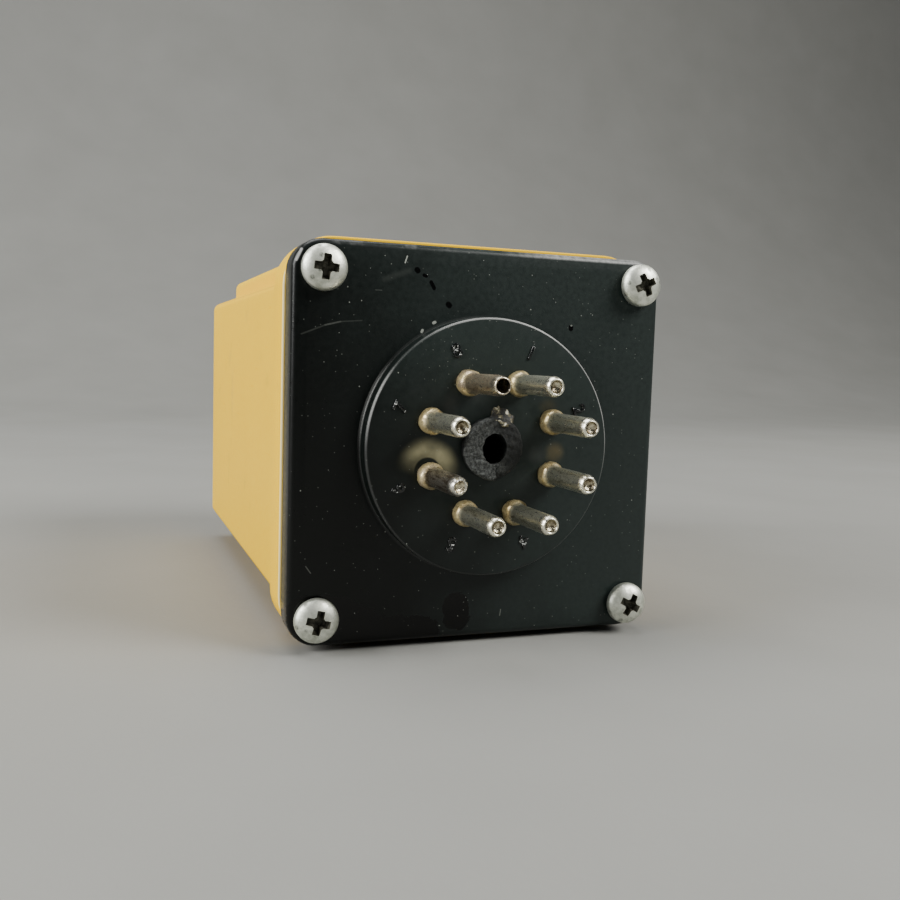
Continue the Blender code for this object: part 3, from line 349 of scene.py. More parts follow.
phenolicValues = {
    # light is the colour of the painted sheen; dark is the plate's own colour
    "specular": 0.26, "dark": (0.0007, 0.0013, 0.0009), "light": (0.0175, 0.0250, 0.0228),
    "wet": (0.0003, 0.0004, 0.0003), "dust": (0.34, 0.36, 0.32), "wearAndHighlight": (0.34, 0.34, 0.33),
    "cream": (0.56, 0.52, 0.31), "brownHaze": (0.12, 0.095, 0.045),
    "greyHaze": (0.07, 0.07, 0.068),
    # the painted sheen reaches from the first slope, where there is none, to the second
    "sheenSlope": (-25, 14), "sheenLean": 0.36, "sheenDrift": 16,
    # a mark runs between two (x, z) places: its half width, then its strength and softness
    "stains": [((-22.5, 4.8), (-18.6, 4.7), 2.6), ((-18.5, 4.2), (-15.6, 3.4), 2.4),
               ((-15.5, 2.2), (-7.4, 1.5), 2.5), ((-2.95, 4.9), (-2.9, 3.4), 1.9)],
    "darkSpots": [((-9.4, 47.1), (-9.3, 47.0), 0.42), ((-8.5, 46.5), (-8.2, 46.4), 0.25),
                  ((-7.55, 45.7), (-7.15, 45.0), 0.3), ((-5.2, 43.1), (-5.1, 43.0), 0.45),
                  ((11.8, 41.0), (11.8, 40.8), 0.4)],
    "scratches": [((-23.5, 38.8), (-20.7, 39.95), 0.12, 0.06),
                  ((-20.7, 39.95), (-18.8, 40.44), 0.12, 0.14),
                  ((-18.8, 40.44), (-16.2, 40.67), 0.10, 0.06),
                  ((-10.95, 47.85), (-10.7, 48.65), 0.1, 0.9),
                  ((-13.5, 45.75), (-10.4, 46.95), 0.6, 0.035, 1.0),
                  ((-22.5, 10.9), (-21.9, 10.05), 0.08, 0.2), ((3.2, 3.3), (3.3, 4.1), 0.07, 0.3),
                  ((-14.6, 44.4), (-13.8, 44.4), 0.07, 0.12)],
    "chips": [((-8.6, 39.6), (-8.5, 39.8), 0.2, 0.9), ((-7.1, 40.75), (-6.9, 40.85), 0.22, 0.9),
              ((11.8, 41.2), (11.9, 41.2), 0.13, 0.5), ((-5.2, 28.0), (-4.4, 28.3), 0.12, 0.5)],
    # a painted highlight on the plate's rounded upper left corner
    "cornerHighlight": ((-24.2, 47.4), (-23.6, 48.7), 0.22, 0.9),
    # a haze has its middle (x, z), its radius, its strength and its colour
    "hazes": [((8.75, 24.9), 1.7, 0.75, "brownHaze"), ((6.3, 24.6), 1.5, 0.45, "greyHaze"),
              ((7.6, 30.7), 1.6, 0.35, "brownHaze"), ((-2.0, 32.6), 2.2, 0.25, "greyHaze"),
              ((-5.5, 31.0), 1.6, 0.35, "greyHaze")],
    "creamHaze": {"middle": (-8.3, 22.7), "inside": (1.55, 1.8), "outside": (4.5, 2.0),
                  "strength": 0.85},
}


def makePhenolic(name, values):
    finish, tree = newFinish(name, specular=values["specular"])
    where = places(tree)
    flat = places(tree, (1, 0, 1))
    x, y, z = across(tree, where)
    height = minus(tree, z, axisHeight)
    radius = awayFrom(tree, flat, (0, 0, axisHeight))
    cloud = patches(tree, where, 0.11, 5, 0.6)
    fine = patches(tree, where, 1.6, 5)
    onPlate = fade(tree, y, plateFront - 0.25, plateFront - 0.05)
    onDisc = fade(tree, y, discFace + 0.25, discFace + 0.05)

    # painted sheen: the plate's colour lightens toward the upper right and on the top of the disc,
    # standing in for a broad reflection, and dark stains wipe it off in places
    drift = times(tree, minus(tree, cloud, 0.5), values["sheenDrift"])
    slope = plus(tree, x, times(tree, height, values["sheenLean"]), drift)
    paintedSheen = times(tree, fade(tree, slope, *values["sheenSlope"]), between(tree, fine, 0.82, 1.1))
    paintedSheen = plus(tree, paintedSheen, times(tree, onDisc, fade(tree, z, 31, 39), 0.35))
    wander = times(tree, minus(tree, patches(tree, where, 0.9, 4), 0.5), 1.5)
    sway = addNode(tree, "CombineXYZ", {"X": wander, "Z": wander})
    wavy = addNode(tree, "VectorMath", {0: flat, 1: sway}, operation="ADD")
    stains = [stroke(tree, wavy, *part, 0.12) for part in values["stains"]]
    spots = [stroke(tree, flat, *part) for part in values["darkSpots"]]
    wiped = times(tree, strongest(tree, *stains, *spots), onPlate)
    colour = mixed(tree, paintedSheen, values["dark"], values["light"])
    colour = mixed(tree, wiped, colour, values["wet"])

    # haze on the disc: a cream ring over one pin, and fainter patches
    cream = values["creamHaze"]
    away = awayFrom(tree, flat, (cream["middle"][0], 0, cream["middle"][1]))
    ring = times(tree, fade(tree, away, *cream["outside"]), fade(tree, away, *cream["inside"]))
    side = fade(tree, plus(tree, z, times(tree, x, 0.25)), 19.4, 23.4)
    blotches = between(tree, patches(tree, where, 0.35, 3, 0.4), 0.3, 1.0)
    share = times(tree, ring, onDisc, side, blotches, cream["strength"])
    colour = mixed(tree, share, colour, values["cream"])
    for middle, reach, strength, tint in values["hazes"]:
        near = fade(tree, awayFrom(tree, flat, (middle[0], 0, middle[1])), reach, reach * 0.2)
        colour = mixed(tree, times(tree, near, onDisc, blotches, strength), colour, values[tint])

    # pale wear and painted highlights along the upper front edge and round the disc's rim and foot,
    # with the rim and foot lines brightest on the upper right and the left where light glints, and
    # a painted highlight on the plate's upper left corner
    along = fade(tree, plus(tree, x, times(tree, patches(tree, where, 0.5), 9)), 6, 15)
    weak = times(tree, fade(tree, patches(tree, where, 0.4, 4), 0.46, 0.62),
                 fade(tree, x, -1, -5), 0.16)
    edgeWearAndHighlight = times(tree, fade(tree, z, 49.4, 49.75),
                 fade(tree, y, plateFront + 1.05, plateFront + 0.6),
                 strongest(tree, times(tree, along, 0.8), weak), between(tree, fine, 0.35, 1.0))
    right = fade(tree, plus(tree, height, times(tree, x, 0.7)), 4, 17)
    left = times(tree, fade(tree, x, -12, -15), fade(tree, height, -1, 5),
                 fade(tree, height, 12, 8))
    rimHighlightShare = strongest(tree, times(tree, right, 0.85), times(tree, left, 0.5))
    # painted highlight: the rim and foot lines are mostly light glinting on the rounded edges, with
    # a little wear all round
    rim = times(tree, fade(tree, radius, 15.88, 16.0),
                fade(tree, y, discFace + 0.55, discFace + 0.35),
                between(tree, cloud, 0.6, 1.2), plus(tree, 0.08, rimHighlightShare))
    base = times(tree, fade(tree, radius, 16.50, 16.36), fade(tree, radius, 16.0, 16.1),
                 fade(tree, y, plateFront - 0.55, plateFront - 0.25),
                 plus(tree, 0.05, times(tree, left, 0.4)))
    paintedCornerHighlight = times(tree, stroke(tree, flat, *values["cornerHighlight"]),
                  fade(tree, y, plateFront + 0.95, plateFront + 0.55))
    colour = mixed(tree, strongest(tree, edgeWearAndHighlight, rim, base, paintedCornerHighlight), colour, values["wearAndHighlight"])

    # dust, specks and scratches
    top = times(tree, onDisc, fade(tree, z, 32.5, 35.0))
    dust = strongest(tree, times(tree, dots(tree, where, 0.55, 0.06, 0.30), 0.7),
                     times(tree, dots(tree, where, 1.1, 0.08, 0.22), 0.8),
                     times(tree, dots(tree, where, 1.5, 0.13, 0.26), 0.3),
                     times(tree, dots(tree, where, 2.1, 0.13, 0.35), top, 0.6))

    def drawn(parts):
        return strongest(tree, *[times(tree, stroke(tree, flat, *part[:3], *part[4:]), part[3])
                                 for part in parts])

    onFront = fade(tree, y, plateFront + 0.35, plateFront + 0.05)
    marks = strongest(tree, dust, times(tree, drawn(values["scratches"]), onPlate),
                      times(tree, drawn(values["chips"]), onFront))
    colour = mixed(tree, marks, colour, values["dust"])

    gloss = minus(tree, between(tree, fine, 0.27, 0.36), times(tree, wiped, 0.17))
    gloss = plus(tree, gloss, times(tree, paintedSheen, 0.05), times(tree, marks, 0.3))
    relief = plus(tree, times(tree, fine, 0.2), times(tree, marks, 0.6),
                  times(tree, patches(tree, where, 6.0, 2), 0.12))
    return complete(finish, colour, gloss, relief, 0.02)


brokenValues = {"dark": (0.006, 0.007, 0.007), "light": (0.15, 0.16, 0.155)}
chippedValues = {"break": (0.006, 0.006, 0.005), "edge": (0.17, 0.15, 0.08),
                 "flake": (0.82, 0.79, 0.66)}
numeralColours = {"dark": (0.002, 0.003, 0.003), "glint": (0.70, 0.72, 0.70)}
yellowValues = {
    "specular": 0.03, "deep": (0.88, 0.525, 0.001), "bright": (0.91, 0.55, 0.002),
    # the colour of the notch line is painted shade, and edge is the colour of a painted highlight
    # on the mouth's left lip
    "grime": (0.52, 0.30, 0.10), "speck": (0.25, 0.14, 0.05), "notchShade": (0.60, 0.30, 0.01),
    "edge": (0.95, 0.86, 0.50), "rubPlace": (-24.4, 19.6, 8.2), "notchShadeHeight": 45.4,
}
# bands along a pin: y where the collar's brass ends and where the tip's solder starts
pinBands = {"collar": (-39.0, -38.0), "tip": (-46.3, -47.2), "crust": (-43.5, -40.0)}
pinFinishValues = {
    "tinnedBrass": {"metal": (0.88, 0.88, 0.72), "tarnish": (0.30, 0.29, 0.19), "share": 0.37,
                    "collar": (0.36, 0.26, 0.10), "tip": (0.88, 0.85, 0.70), "crust": 0.0},
    "crustedBrass": {"metal": (0.72, 0.66, 0.56), "tarnish": (0.13, 0.10, 0.07), "share": 0.44,
                     "collar": (0.58, 0.47, 0.29), "tip": (0.60, 0.58, 0.52), "crust": 0.5},
    "dirtyBrass": {"metal": (0.80, 0.69, 0.50), "tarnish": (0.34, 0.25, 0.16), "share": 0.38,
                   "collar": (0.42, 0.33, 0.22), "tip": (0.62, 0.55, 0.42), "crust": 0.95},
}
brassColour, crustColour = (0.62, 0.50, 0.24), (0.02, 0.016, 0.012)


def makeBroken(name, values):
    # the granular face of snapped moulding, with painted light and shade: its top is lighter to the
    # lower left and darker to the right, where the face drops lower into shadow
    finish, tree = newFinish(name, specular=0.35)
    x, y, z = across(tree, places(tree))
    grains = patches(tree, places(tree, (1, 0.4, 1)), 2.6, 6, 0.75)
    # painted light and shade across the stub's top, lighter toward the lower left
    side = plus(tree, x, times(tree, minus(tree, z, axisHeight), 0.35))
    share = times(tree, fade(tree, grains, 0.36, 0.72), fade(tree, side, 2.2, -0.6),
                  fade(tree, y, discFace - 0.45, discFace - 0.85))
    share = strongest(tree, share, times(tree, fade(tree, grains, 0.5, 0.75), 0.16))
    colour = mixed(tree, share, values["dark"], values["light"])
    return complete(finish, colour, between(tree, grains, 0.5, 0.75), grains, 0.22)


def makeChipped(name, values):
    # pale flakes with dark breaks between them
    finish, tree = newFinish(name, specular=0.5)
    grains = patches(tree, places(tree), 1.3, 5, 0.7)
    colour = mixed(tree, fade(tree, grains, 0.48, 0.56), values["break"], values["edge"])
    colour = mixed(tree, fade(tree, grains, 0.57, 0.63), colour, values["flake"])
    return complete(finish, colour, between(tree, grains, 0.35, 0.6), grains, 0.25)


def makeNumeralFinish(name, values):
    finish, tree = newFinish(name, specular=0.6)
    where = places(tree)
    y = across(tree, where)[1]
    # white flecks on the numerals' tops: partly remains of white paint and partly painted glints
    glints = times(tree, fade(tree, patches(tree, where, 2.4, 4), 0.60, 0.66),
                   fade(tree, y, discFace - 0.07, discFace - 0.15), 0.9)
    colour = mixed(tree, glints, values["dark"], values["glint"])
    gloss = between(tree, patches(tree, where, 2.0), 0.10, 0.2)
    return complete(finish, colour, gloss, patches(tree, where, 2.5, 3), 0.05)


def makeYellow(name, values):
    finish, tree = newFinish(name, specular=values["specular"])
    where = places(tree)
    x, y, z = across(tree, where)
    cloud = patches(tree, where, 0.05, 3)
    colour = mixed(tree, between(tree, cloud, 0, 1), values["deep"], values["bright"])
    # faint brown rubs, one on the left side toward the rear
    squashed = addNode(tree, "Mapping", {"Vector": where, "Scale": (1, 1, 0.28)})
    rub = times(tree, fade(tree, awayFrom(tree, squashed, values["rubPlace"]), 2.0, 0.6),
                between(tree, patches(tree, where, 0.9), 0.2, 0.9), 0.35)
    grime = times(tree, fade(tree, patches(tree, where, 0.16, 5), 0.60, 0.74), 0.22)
    colour = mixed(tree, strongest(tree, rub, grime), colour, values["grime"])
    specks = times(tree, dots(tree, where, 0.25, 0.05, 0.4), 0.5)
    colour = mixed(tree, specks, colour, values["speck"])
    # a thin line of painted shade along the rounded edge in the upper left notch, and a painted
    # highlight on the left lip of the mouth
    away = addNode(tree, "Math", {0: minus(tree, z, values["notchShadeHeight"])},
                   operation="ABSOLUTE")
    notchShade = times(tree, fade(tree, away, 0.4, 0.1), fade(tree, x, -22.8, -23.4),
                   fade(tree, y, -24.5, -22.0), 0.35)
    colour = mixed(tree, notchShade, colour, values["notchShade"])
    lipHighlight = times(tree, fade(tree, y, coverFront + 0.35, coverFront + 0.1),
                fade(tree, x, -24.6, -24.8), 0.8)
    colour = mixed(tree, lipHighlight, colour, values["edge"])
    fine = patches(tree, where, 2.2, 3)
    lines = fade(tree, patches(tree, places(tree, (1, 0.12, 2.2), (0.3, 0, 0)), 0.8, 2), 0.70, 0.76)
    gloss = plus(tree, between(tree, fine, 0.34, 0.44), times(tree, lines, 0.15))
    relief = plus(tree, times(tree, patches(tree, where, 0.35, 2), 1.4), times(tree, fine, 0.12),
                  times(tree, lines, -0.15))
    return complete(finish, colour, gloss, relief, 0.03)


def makePinFinish(name, values):
    # brass at the collar, tinned along the shaft, bright solder at the tip
    finish, tree = newFinish(name)
    where = places(tree)
    y = across(tree, where)[1]
    streaks = patches(tree, places(tree, (1, 0.16, 1)), 2.0, 5, 0.66)
    fine = patches(tree, where, 4.0, 4, 0.65)
    mottle = plus(tree, times(tree, streaks, 0.65), times(tree, fine, 0.35))
    collar = fade(tree, plus(tree, y, fine), *pinBands["collar"])
    tip = fade(tree, plus(tree, y, times(tree, fine, 0.8)), *pinBands["tip"])
    bright = fade(tree, mottle, values["share"], values["share"] + 0.16)
    colour = mixed(tree, bright, values["tarnish"], values["metal"])
    brass = mixed(tree, fade(tree, patches(tree, where, 1.1, 4), 0.36, 0.62),
                  values["collar"], brassColour)
    colour = mixed(tree, times(tree, collar, 0.92), colour, brass)
    colour = mixed(tree, tip, colour, values["tip"])
    flakes = times(tree, fade(tree, patches(tree, where, 1.9, 5, 0.75), 0.60, 0.68),
                   values["crust"], fade(tree, y, *pinBands["crust"]))
    colour = mixed(tree, flakes, colour, crustColour)
    connect(tree, minus(tree, 0.98, times(tree, collar, 0.35)),
            tree.nodes["Principled BSDF"].inputs["Metallic"])
    gloss = minus(tree, between(tree, mottle, 0.42, 0.20), times(tree, tip, 0.05))
    relief = plus(tree, streaks, times(tree, fine, 0.15 + values["crust"]))
    return complete(finish, colour, gloss, relief, 0.02)


def makeMetal(name, first, second, gloss, grain=1.2, depth=0.02, metallic=1.0,
              stretch=(1, 1, 1), spots=None):
    finish, tree = newFinish(name, metallic=metallic)
    where = places(tree, stretch)
    cloud = patches(tree, where, grain, 5, 0.62)
    fine = patches(tree, where, grain * 5, 3)
    colour = mixed(tree, fade(tree, cloud, 0.32, 0.66), first, second)
    if spots:
        size, share, tint = spots
        cells = times(tree, dots(tree, where, 1.05, size, share), between(tree, fine, 0.2, 0.9))
        colour = mixed(tree, cells, colour, tint)
    return complete(finish, colour, between(tree, cloud, gloss + 0.1, gloss - 0.06),
                    plus(tree, cloud, times(tree, fine, 0.5)), depth)


def makePlain(name, first, second, gloss, grain=0.6, depth=0.02):
    finish, tree = newFinish(name, specular=0.45)
    where = places(tree)
    cloud = patches(tree, where, grain, 4)
    fine = patches(tree, where, grain * 8, 3)
    colour = mixed(tree, fade(tree, cloud, 0.3, 0.7), first, second)
    return complete(finish, colour, between(tree, fine, gloss - 0.05, gloss + 0.08),
                    plus(tree, times(tree, cloud, 0.5), fine), depth)


phenolic = makePhenolic("blackPhenolic", phenolicValues)
brokenPhenolic = makeBroken("brokenPhenolic", brokenValues)
chippedPhenolic = makeChipped("chippedPhenolic", chippedValues)
numeralFinish = makeNumeralFinish("numeralPhenolic", numeralColours)
yellow = makeYellow("yellowPlastic", yellowValues)
tinned, crusted, dirty = [makePinFinish(name, values)
                          for name, values in pinFinishValues.items()]
solder = makeMetal("burntSolder", (0.10, 0.065, 0.03), (0.74, 0.68, 0.50), 0.22, 1.6, 0.08)
zinc = makeMetal("zincScrew", (0.54, 0.56, 0.48), (0.88, 0.90, 0.80), 0.46, 0.9, 0.03,
                 spots=(0.42, 0.30, (0.10, 0.11, 0.09)))
# the cross recess is coloured darker than the head
darkRecess = makeMetal("darkRecess", (0.030, 0.030, 0.022), (0.14, 0.135, 0.10), 0.5, 2.0,
                        0.05, 0.5)
print("finishes made")


# Base plate

screwValues = {
    "headRadius": 2.75, "seat": -34.75, "top": -36.65, "band": 0.28, "shank": 1.3,
    "length": 9.9, "sides": 96,
    "neck": 1.9, "plateFace": -34.36,
    "recessSpan": 3.42, "recessWidth": 1.02, "recessDepth": 1.3, "taper": 0.66, "cone": 0.84,
    "rim": 0.09, "turns": {1: 5, 2: -25, 3: 14, 4: 28},
    "shifts": {1: (0.15, -0.05), 2: (0.2, 0.12), 3: (-0.05, 0.05), 4: (0.2, -0.15)},
}


def screwPlace(number):
    middle = nodeMiddle(f"cover_screw_{number}")
    shift = screwValues["shifts"][number]
    return Vector((middle.x + shift[0], middle.y, middle.z + shift[1]))


plateValues = {
    "width": 49.4, "height": 49.4, "front": plateFront, "back": -30.15,
    "corner": 3.8, "cornerSteps": 10, "edgeRound": 0.8, "edgeSteps": 5, "backRound": 0.15,
    "discRadius": 16.15, "discFace": discFace, "discRound": 0.34, "discFillet": 0.1,
    "discSides": 160, "screwHole": 1.6, "pinHole": 1.5,
    "standoff": 3.0, "standoffSpread": 13.0, "standoffTop": -21.15, "standoffX": -7.101,
}
stubValues = {
    "radius": 3.9, "rise": 1.4, "sides": 120, "ring": 0.15, "grain": 0.5, "roughness": 0.12,
    "drop": 1.0, "dropFrom": -86, "dropTo": 60, "hole": 1.65, "holeTall": 1.18, "holeDepth": 6.5,
    "seat": 0.9, "inset": 0.9, "keyAngle": 72, "keyRise": 1.75, "keyReach": 1.1, "keyWidth": 2.9,
}
numeralValues = {"fontSize": 2.43, "relief": 0.13, "edge": 0.06, "circle": 12.85}


def arc(centre, radius, fromAngle, toAngle, steps):
    # points of an arc in (radius, y) terms
    angles = [math.radians(fromAngle + (toAngle - fromAngle) * step / steps)
              for step in range(steps + 1)]
    return [(centre[0] + radius * math.cos(angle), centre[1] + radius * math.sin(angle))
            for angle in angles]


def addPlate(values):
    halfX, halfZ = values["width"] / 2, values["height"] / 2
    plate = addBlock((-halfX, values["front"], axisHeight - halfZ),
                     (halfX, values["back"], axisHeight + halfZ))
    roundEdges(plate, alongY, values["corner"], values["cornerSteps"])
    roundEdges(plate, atY(values["front"]), values["edgeRound"], values["edgeSteps"])
    roundEdges(plate, atY(values["back"]), values["backRound"], 2)
    return plate


def addDisc(values):
    radius, face, front = values["discRadius"], values["discFace"], values["front"]
    inner, fillet, turn = front + 1.2, values["discFillet"], values["discRound"]
    profile = [(0, inner), (radius + fillet, inner)]
    profile += arc((radius + fillet, front - fillet - 0.01), fillet, 90, 180, 6)
    profile += arc((radius - turn, face + turn), turn, 0, -90, 6)
    profile += [(radius * share, face) for share in (0.75, 0.5, 0.25, 0)]
    return addTurned(profile, values["discSides"])


def addStub(values):
    # a ring of snapped moulding with the hole down its middle
    radius, hole, ring = values["radius"], values["hole"], values["ring"]
    top, seat, foot = discFace - values["rise"], discFace + values["seat"], discFace - 0.3
    bottom, edge, under = top + values["holeDepth"], 0.3, radius - values["inset"]
    profile = [(0, bottom + 1), (under, bottom + 1), (under, seat), (radius, seat), (radius, foot)]
    steps = round(values["rise"] / ring) - 3
    profile += [(radius, foot - ring * step) for step in range(1, steps)]
    profile += arc((radius - edge, top + edge), edge, 0, -90, 4)
    rings = round((radius - edge - hole) / ring)
    profile += [(radius - edge - (radius - edge - hole) * step / rings, top)
                for step in range(1, rings + 1)]
    profile += [(hole, top + edge), (hole, top + 0.7), (hole, bottom), (0, bottom)]
    stub = addTurned(profile, values["sides"])
    for corner in stub.data.vertices:
        x, z = corner.co.x, corner.co.z - axisHeight
        away = math.hypot(x, z)
        nearHole = max(0, min(1, (radius - away) / (radius - hole)))
        corner.co.z = axisHeight + z * (1 + (values["holeTall"] - 1) * nearHole)
        if corner.co.y > discFace - 0.4:
            continue
        share = (math.degrees(math.atan2(z, x)) - values["dropFrom"]) / (
            values["dropTo"] - values["dropFrom"])
        if 0 < share < 1:                     # this side snapped off lower down
            corner.co.y += values["drop"] * (1 - share) * (1 - 0.35 * nearHole)
    roughen(stub, values["roughness"], values["grain"], lambda co: co.y < foot)
    return stub


def addKeyRemnant(values):
    radius, half = values["radius"], values["keyWidth"] / 2
    key = addBlock((radius - values["inset"], discFace - values["keyRise"], -half),
                   (radius + values["keyReach"], discFace + 0.6, half))
    openPiece(key)
    bpy.ops.mesh.select_all(action="SELECT")
    bpy.ops.mesh.subdivide(number_cuts=9)
    closePiece()
    for corner in key.data.vertices:          # the outer end breaks away in a slope
        if corner.co.y < discFace:
            corner.co.y += max(0, corner.co.x - radius + 0.5) * 0.8 + abs(corner.co.z) * 0.45
            corner.co.x += 0.45 * noise.noise(corner.co * 1.7)
    roughen(key, 0.30, 0.55, lambda co: co.y < discFace + 0.1, seed=3)
    key.data.transform(Matrix.Translation((0, 0, axisHeight))
                       @ Matrix.Rotation(math.radians(-values["keyAngle"]), 4, "Y"))
    return key


def addNumeral(number, values):
    deselectAll()
    bpy.ops.object.text_add()
    text = bpy.context.object
    text.data.body = str(number)
    text.data.size = values["fontSize"]
    text.data.extrude = values["relief"]
    text.data.bevel_depth = values["edge"]
    text.data.bevel_resolution = 2
    text.data.resolution_u = 6
    text.data.align_x = "CENTER"
    text.data.align_y = "CENTER"
    makeActive(text)
    bpy.ops.object.convert(target="MESH")
    weld(text)
    angle = math.radians(90 - 45 * (number - 0.5))
    middle = (values["circle"] * math.cos(angle), discFace,
              axisHeight + values["circle"] * math.sin(angle))
    text.data.transform(Matrix.Translation(middle) @ Matrix.Rotation(math.pi / 2 - angle, 4, "Y")
                        @ Matrix.Rotation(math.pi / 2, 4, "X"))
    return text


def makeBasePlate():
    values = plateValues
    plate = combine(addPlate(values), [addDisc(values)], "UNION")
    standoffs = [addRod(values["standoff"], values["back"] - 1.4, values["standoffTop"],
                        values["standoffX"], axisHeight + side * values["standoffSpread"])
                 for side in (1, -1)]
    cutters = []
    for number in range(1, 9):
        middle = nodeMiddle(f"pin_{number}")
        cutters.append(addRod(values["pinHole"], discFace - 1, values["back"] + 1,
                              middle.x, middle.z, 32))
    for number in range(1, 5):
        middle = screwPlace(number)
        cutters.append(addRod(values["screwHole"], values["front"] - 1, values["back"] + 1,
                              middle.x, middle.z, 32))
    for standoff in standoffs:
        combine(plate, [standoff], "UNION")
    combine(plate, [joinPieces(cutters)], "DIFFERENCE")
    combine(plate, [addRod(stubValues["radius"] - stubValues["inset"], discFace - 1,
                           discFace + stubValues["holeDepth"])], "DIFFERENCE")
    settle(plate, "phenolicBase", [phenolic], nodes=["base_plate"],
           sharpAngle=32)
    settle(addStub(stubValues), "keyPostStub", [brokenPhenolic],
           sharpAngle=60)
    settle(addKeyRemnant(stubValues), "keyRemnant", [chippedPhenolic],
           sharpAngle=60)
    for number in range(1, 9):
        numeral = addNumeral(number, numeralValues)
        settle(numeral, f"numeral_{number}", [numeralFinish])
    print("base plate made:", len(plate.data.polygons), "faces")


makeBasePlate()


# Pins

pinValues = {
    "radius": 1.2, "bore": 0.75, "length": 11.05, "sides": 40, "ring": 0.45,
    "collarRadius": 1.62, "collarLength": 1.5, "inner": 8.7, "flareStart": 7.3, "flare": 0.45,
    "solderDepth": 2.5, "tipLumps": 0.03, "tipReach": 1.6, "collarReach": -2.2,
    "shaftLumps": 0.012, "squashed": 6, "open": 8,
    "lumps": {1: 0.08, 2: 0.07, 3: 0.11, 4: 0.13, 5: 0.07, 6: 0.13, 7: 0.09, 8: 0.12},
    # corners as steps out from a radius and along y: the collar's two ends, then the tips
    "collarRoot": [(-0.12, -0.02), (0, -0.16), (0.03, -0.45), (0.02, -0.8)],
    "collarEnd": [(-0.03, 0.40), (-0.10, 0.20), (-0.20, 0.03), (-0.33, -0.12)],
    "shaftRoot": [(0.07, -0.25), (0, -0.42)],
    "openTip": [(-0.02, 0.9), (-0.10, 0.5), (-0.17, 0.15), (-0.22, 0.03), (-0.29, 0),
                (-0.35, 0.03), (-0.38, 0.2)],
    "solderTip": [(0.02, 0.95), (0.01, 0.72), (-0.04, 0.5), (-0.11, 0.3), (-0.19, 0.14),
                  (-0.26, 0.04), (-0.33, 0), (-0.39, 0.02), (-0.45, 0.1), (-0.52, 0.26),
                  (-0.66, 0.42), (-0.86, 0.52), (-1.04, 0.56), (-1.2, 0.57)],
}


def pinProfile(values, isOpen):
    # y counts from the disc's face, and the tip is at -length
    radius, bore, tip = values["radius"], values["bore"], -values["length"]
    collar, collarEnd = values["collarRadius"], -values["collarLength"]
    inner, flare, out = values["inner"], values["flareStart"], values["flare"]

    def stepped(start, y, steps):
        return [(start + stepOut, y + stepAlong) for stepOut, stepAlong in steps]

    outside = [(bore, inner), (radius, inner), (radius, flare + out), (radius + out, flare + out),
               (radius + out, flare), (radius, flare), (radius, -0.02)]
    outside += stepped(collar, 0, values["collarRoot"])
    outside += stepped(collar, collarEnd, values["collarEnd"])
    outside += stepped(radius, collarEnd, values["shaftRoot"])
    start, end = outside[-1][1], tip + 1.2
    count = int((start - end) / values["ring"])
    outside += [(radius, start + (end - start) * step / count) for step in range(1, count + 1)]
    if isOpen:
        outside += stepped(radius, tip, values["openTip"])
        return outside + [(bore + 0.05, tip + 4), (bore, inner)]
    seal = tip + values["solderDepth"]
    return [(0, seal), (bore, seal)] + outside + stepped(radius, tip, values["solderTip"])


def makePins():
    values = pinValues
    tip = -values["length"]
    closed = addTurned(pinProfile(values, False), values["sides"], z=0)
    opened = addTurned(pinProfile(values, True), values["sides"], z=0)
    for number, lumps in values["lumps"].items():
        pin = copyPiece(opened if number == values["open"] else closed)
        tipEnd, shaftEnd = tip + values["tipReach"], tip + 1.2
        roughen(pin, lumps, 0.9, lambda co: values["collarReach"] < co.y < -0.1, seed=number)
        roughen(pin, values["tipLumps"], 0.7, lambda co: co.y < tipEnd, seed=number + 20)
        roughen(pin, values["shaftLumps"], 1.6, lambda co: shaftEnd < co.y < -2,
                seed=number + 40)
        if number == values["squashed"]:
            for corner in pin.data.vertices:
                near = max(0, 1 - (corner.co.y - tip) / values["tipReach"])
                corner.co.x *= 1 - 0.04 * near
                corner.co.z *= 1 - 0.16 * near
                corner.co.y += 0.5 * near * near * max(0, 0.5 + corner.co.x)
        middle = nodeMiddle(f"pin_{number}")
        pin.data.transform(Matrix.Translation((middle.x, discFace, middle.z)))
        finish = {values["squashed"]: crusted, values["open"]: dirty}.get(number, tinned)
        settle(pin, f"contactPin_{number}", [finish, solder],
               nodes=[f"pin_{number}"], sharpAngle=50)
        for polygon in pin.data.polygons:
            place = polygon.center * metre
            away = math.hypot(place.x - middle.x, place.z - middle.z)
            if away < values["bore"] and place.y < discFace + tip + 0.9:
                polygon.material_index = 1
    for spare in (closed, opened):
        bpy.data.objects.remove(spare)
    print("pins made")


makePins()


# Cover

coverValues = {
    "flangeWidth": 49.9, "flangeHeight": 51.0, "flangeCorner": 6.2, "flangeDepth": 6.4,
    "bodyWidth": 48.7, "bodyHeight": 49.2, "front": coverFront, "back": 48.25, "wall": 1.6,
    "notchWidth": 4.2, "notchHeights": {-1: 3.7, 1: 4.3}, "corner": 1.5, "endRound": 1.3,
    "flangeRound": 0.3, "frontRound": 0.24, "joinRound": 0.25,
    "screwHole": 1.6, "screwHoleEnd": -24.55, "hollowCorner": 1.2,
}


def addNotchedBody(values, inset, start, end, corner):
    halfX = values["bodyWidth"] / 2 - inset
    halfZ = values["bodyHeight"] / 2 - inset
    body = addBlock((-halfX, start, axisHeight - halfZ), (halfX, end, axisHeight + halfZ))
    for sideX in (-1, 1):
        for sideZ in (-1, 1):
            inner = (sideX * (halfX - values["notchWidth"]), start - 1,
                     axisHeight + sideZ * (halfZ - values["notchHeights"][sideZ]))
            outer = (sideX * (halfX + 1), end + 1, axisHeight + sideZ * (halfZ + 1))
            low = [min(a, b) for a, b in zip(inner, outer)]
            high = [max(a, b) for a, b in zip(inner, outer)]
            combine(body, [addBlock(low, high)], "DIFFERENCE")
    roundEdges(body, alongY, corner, 5)
    return body


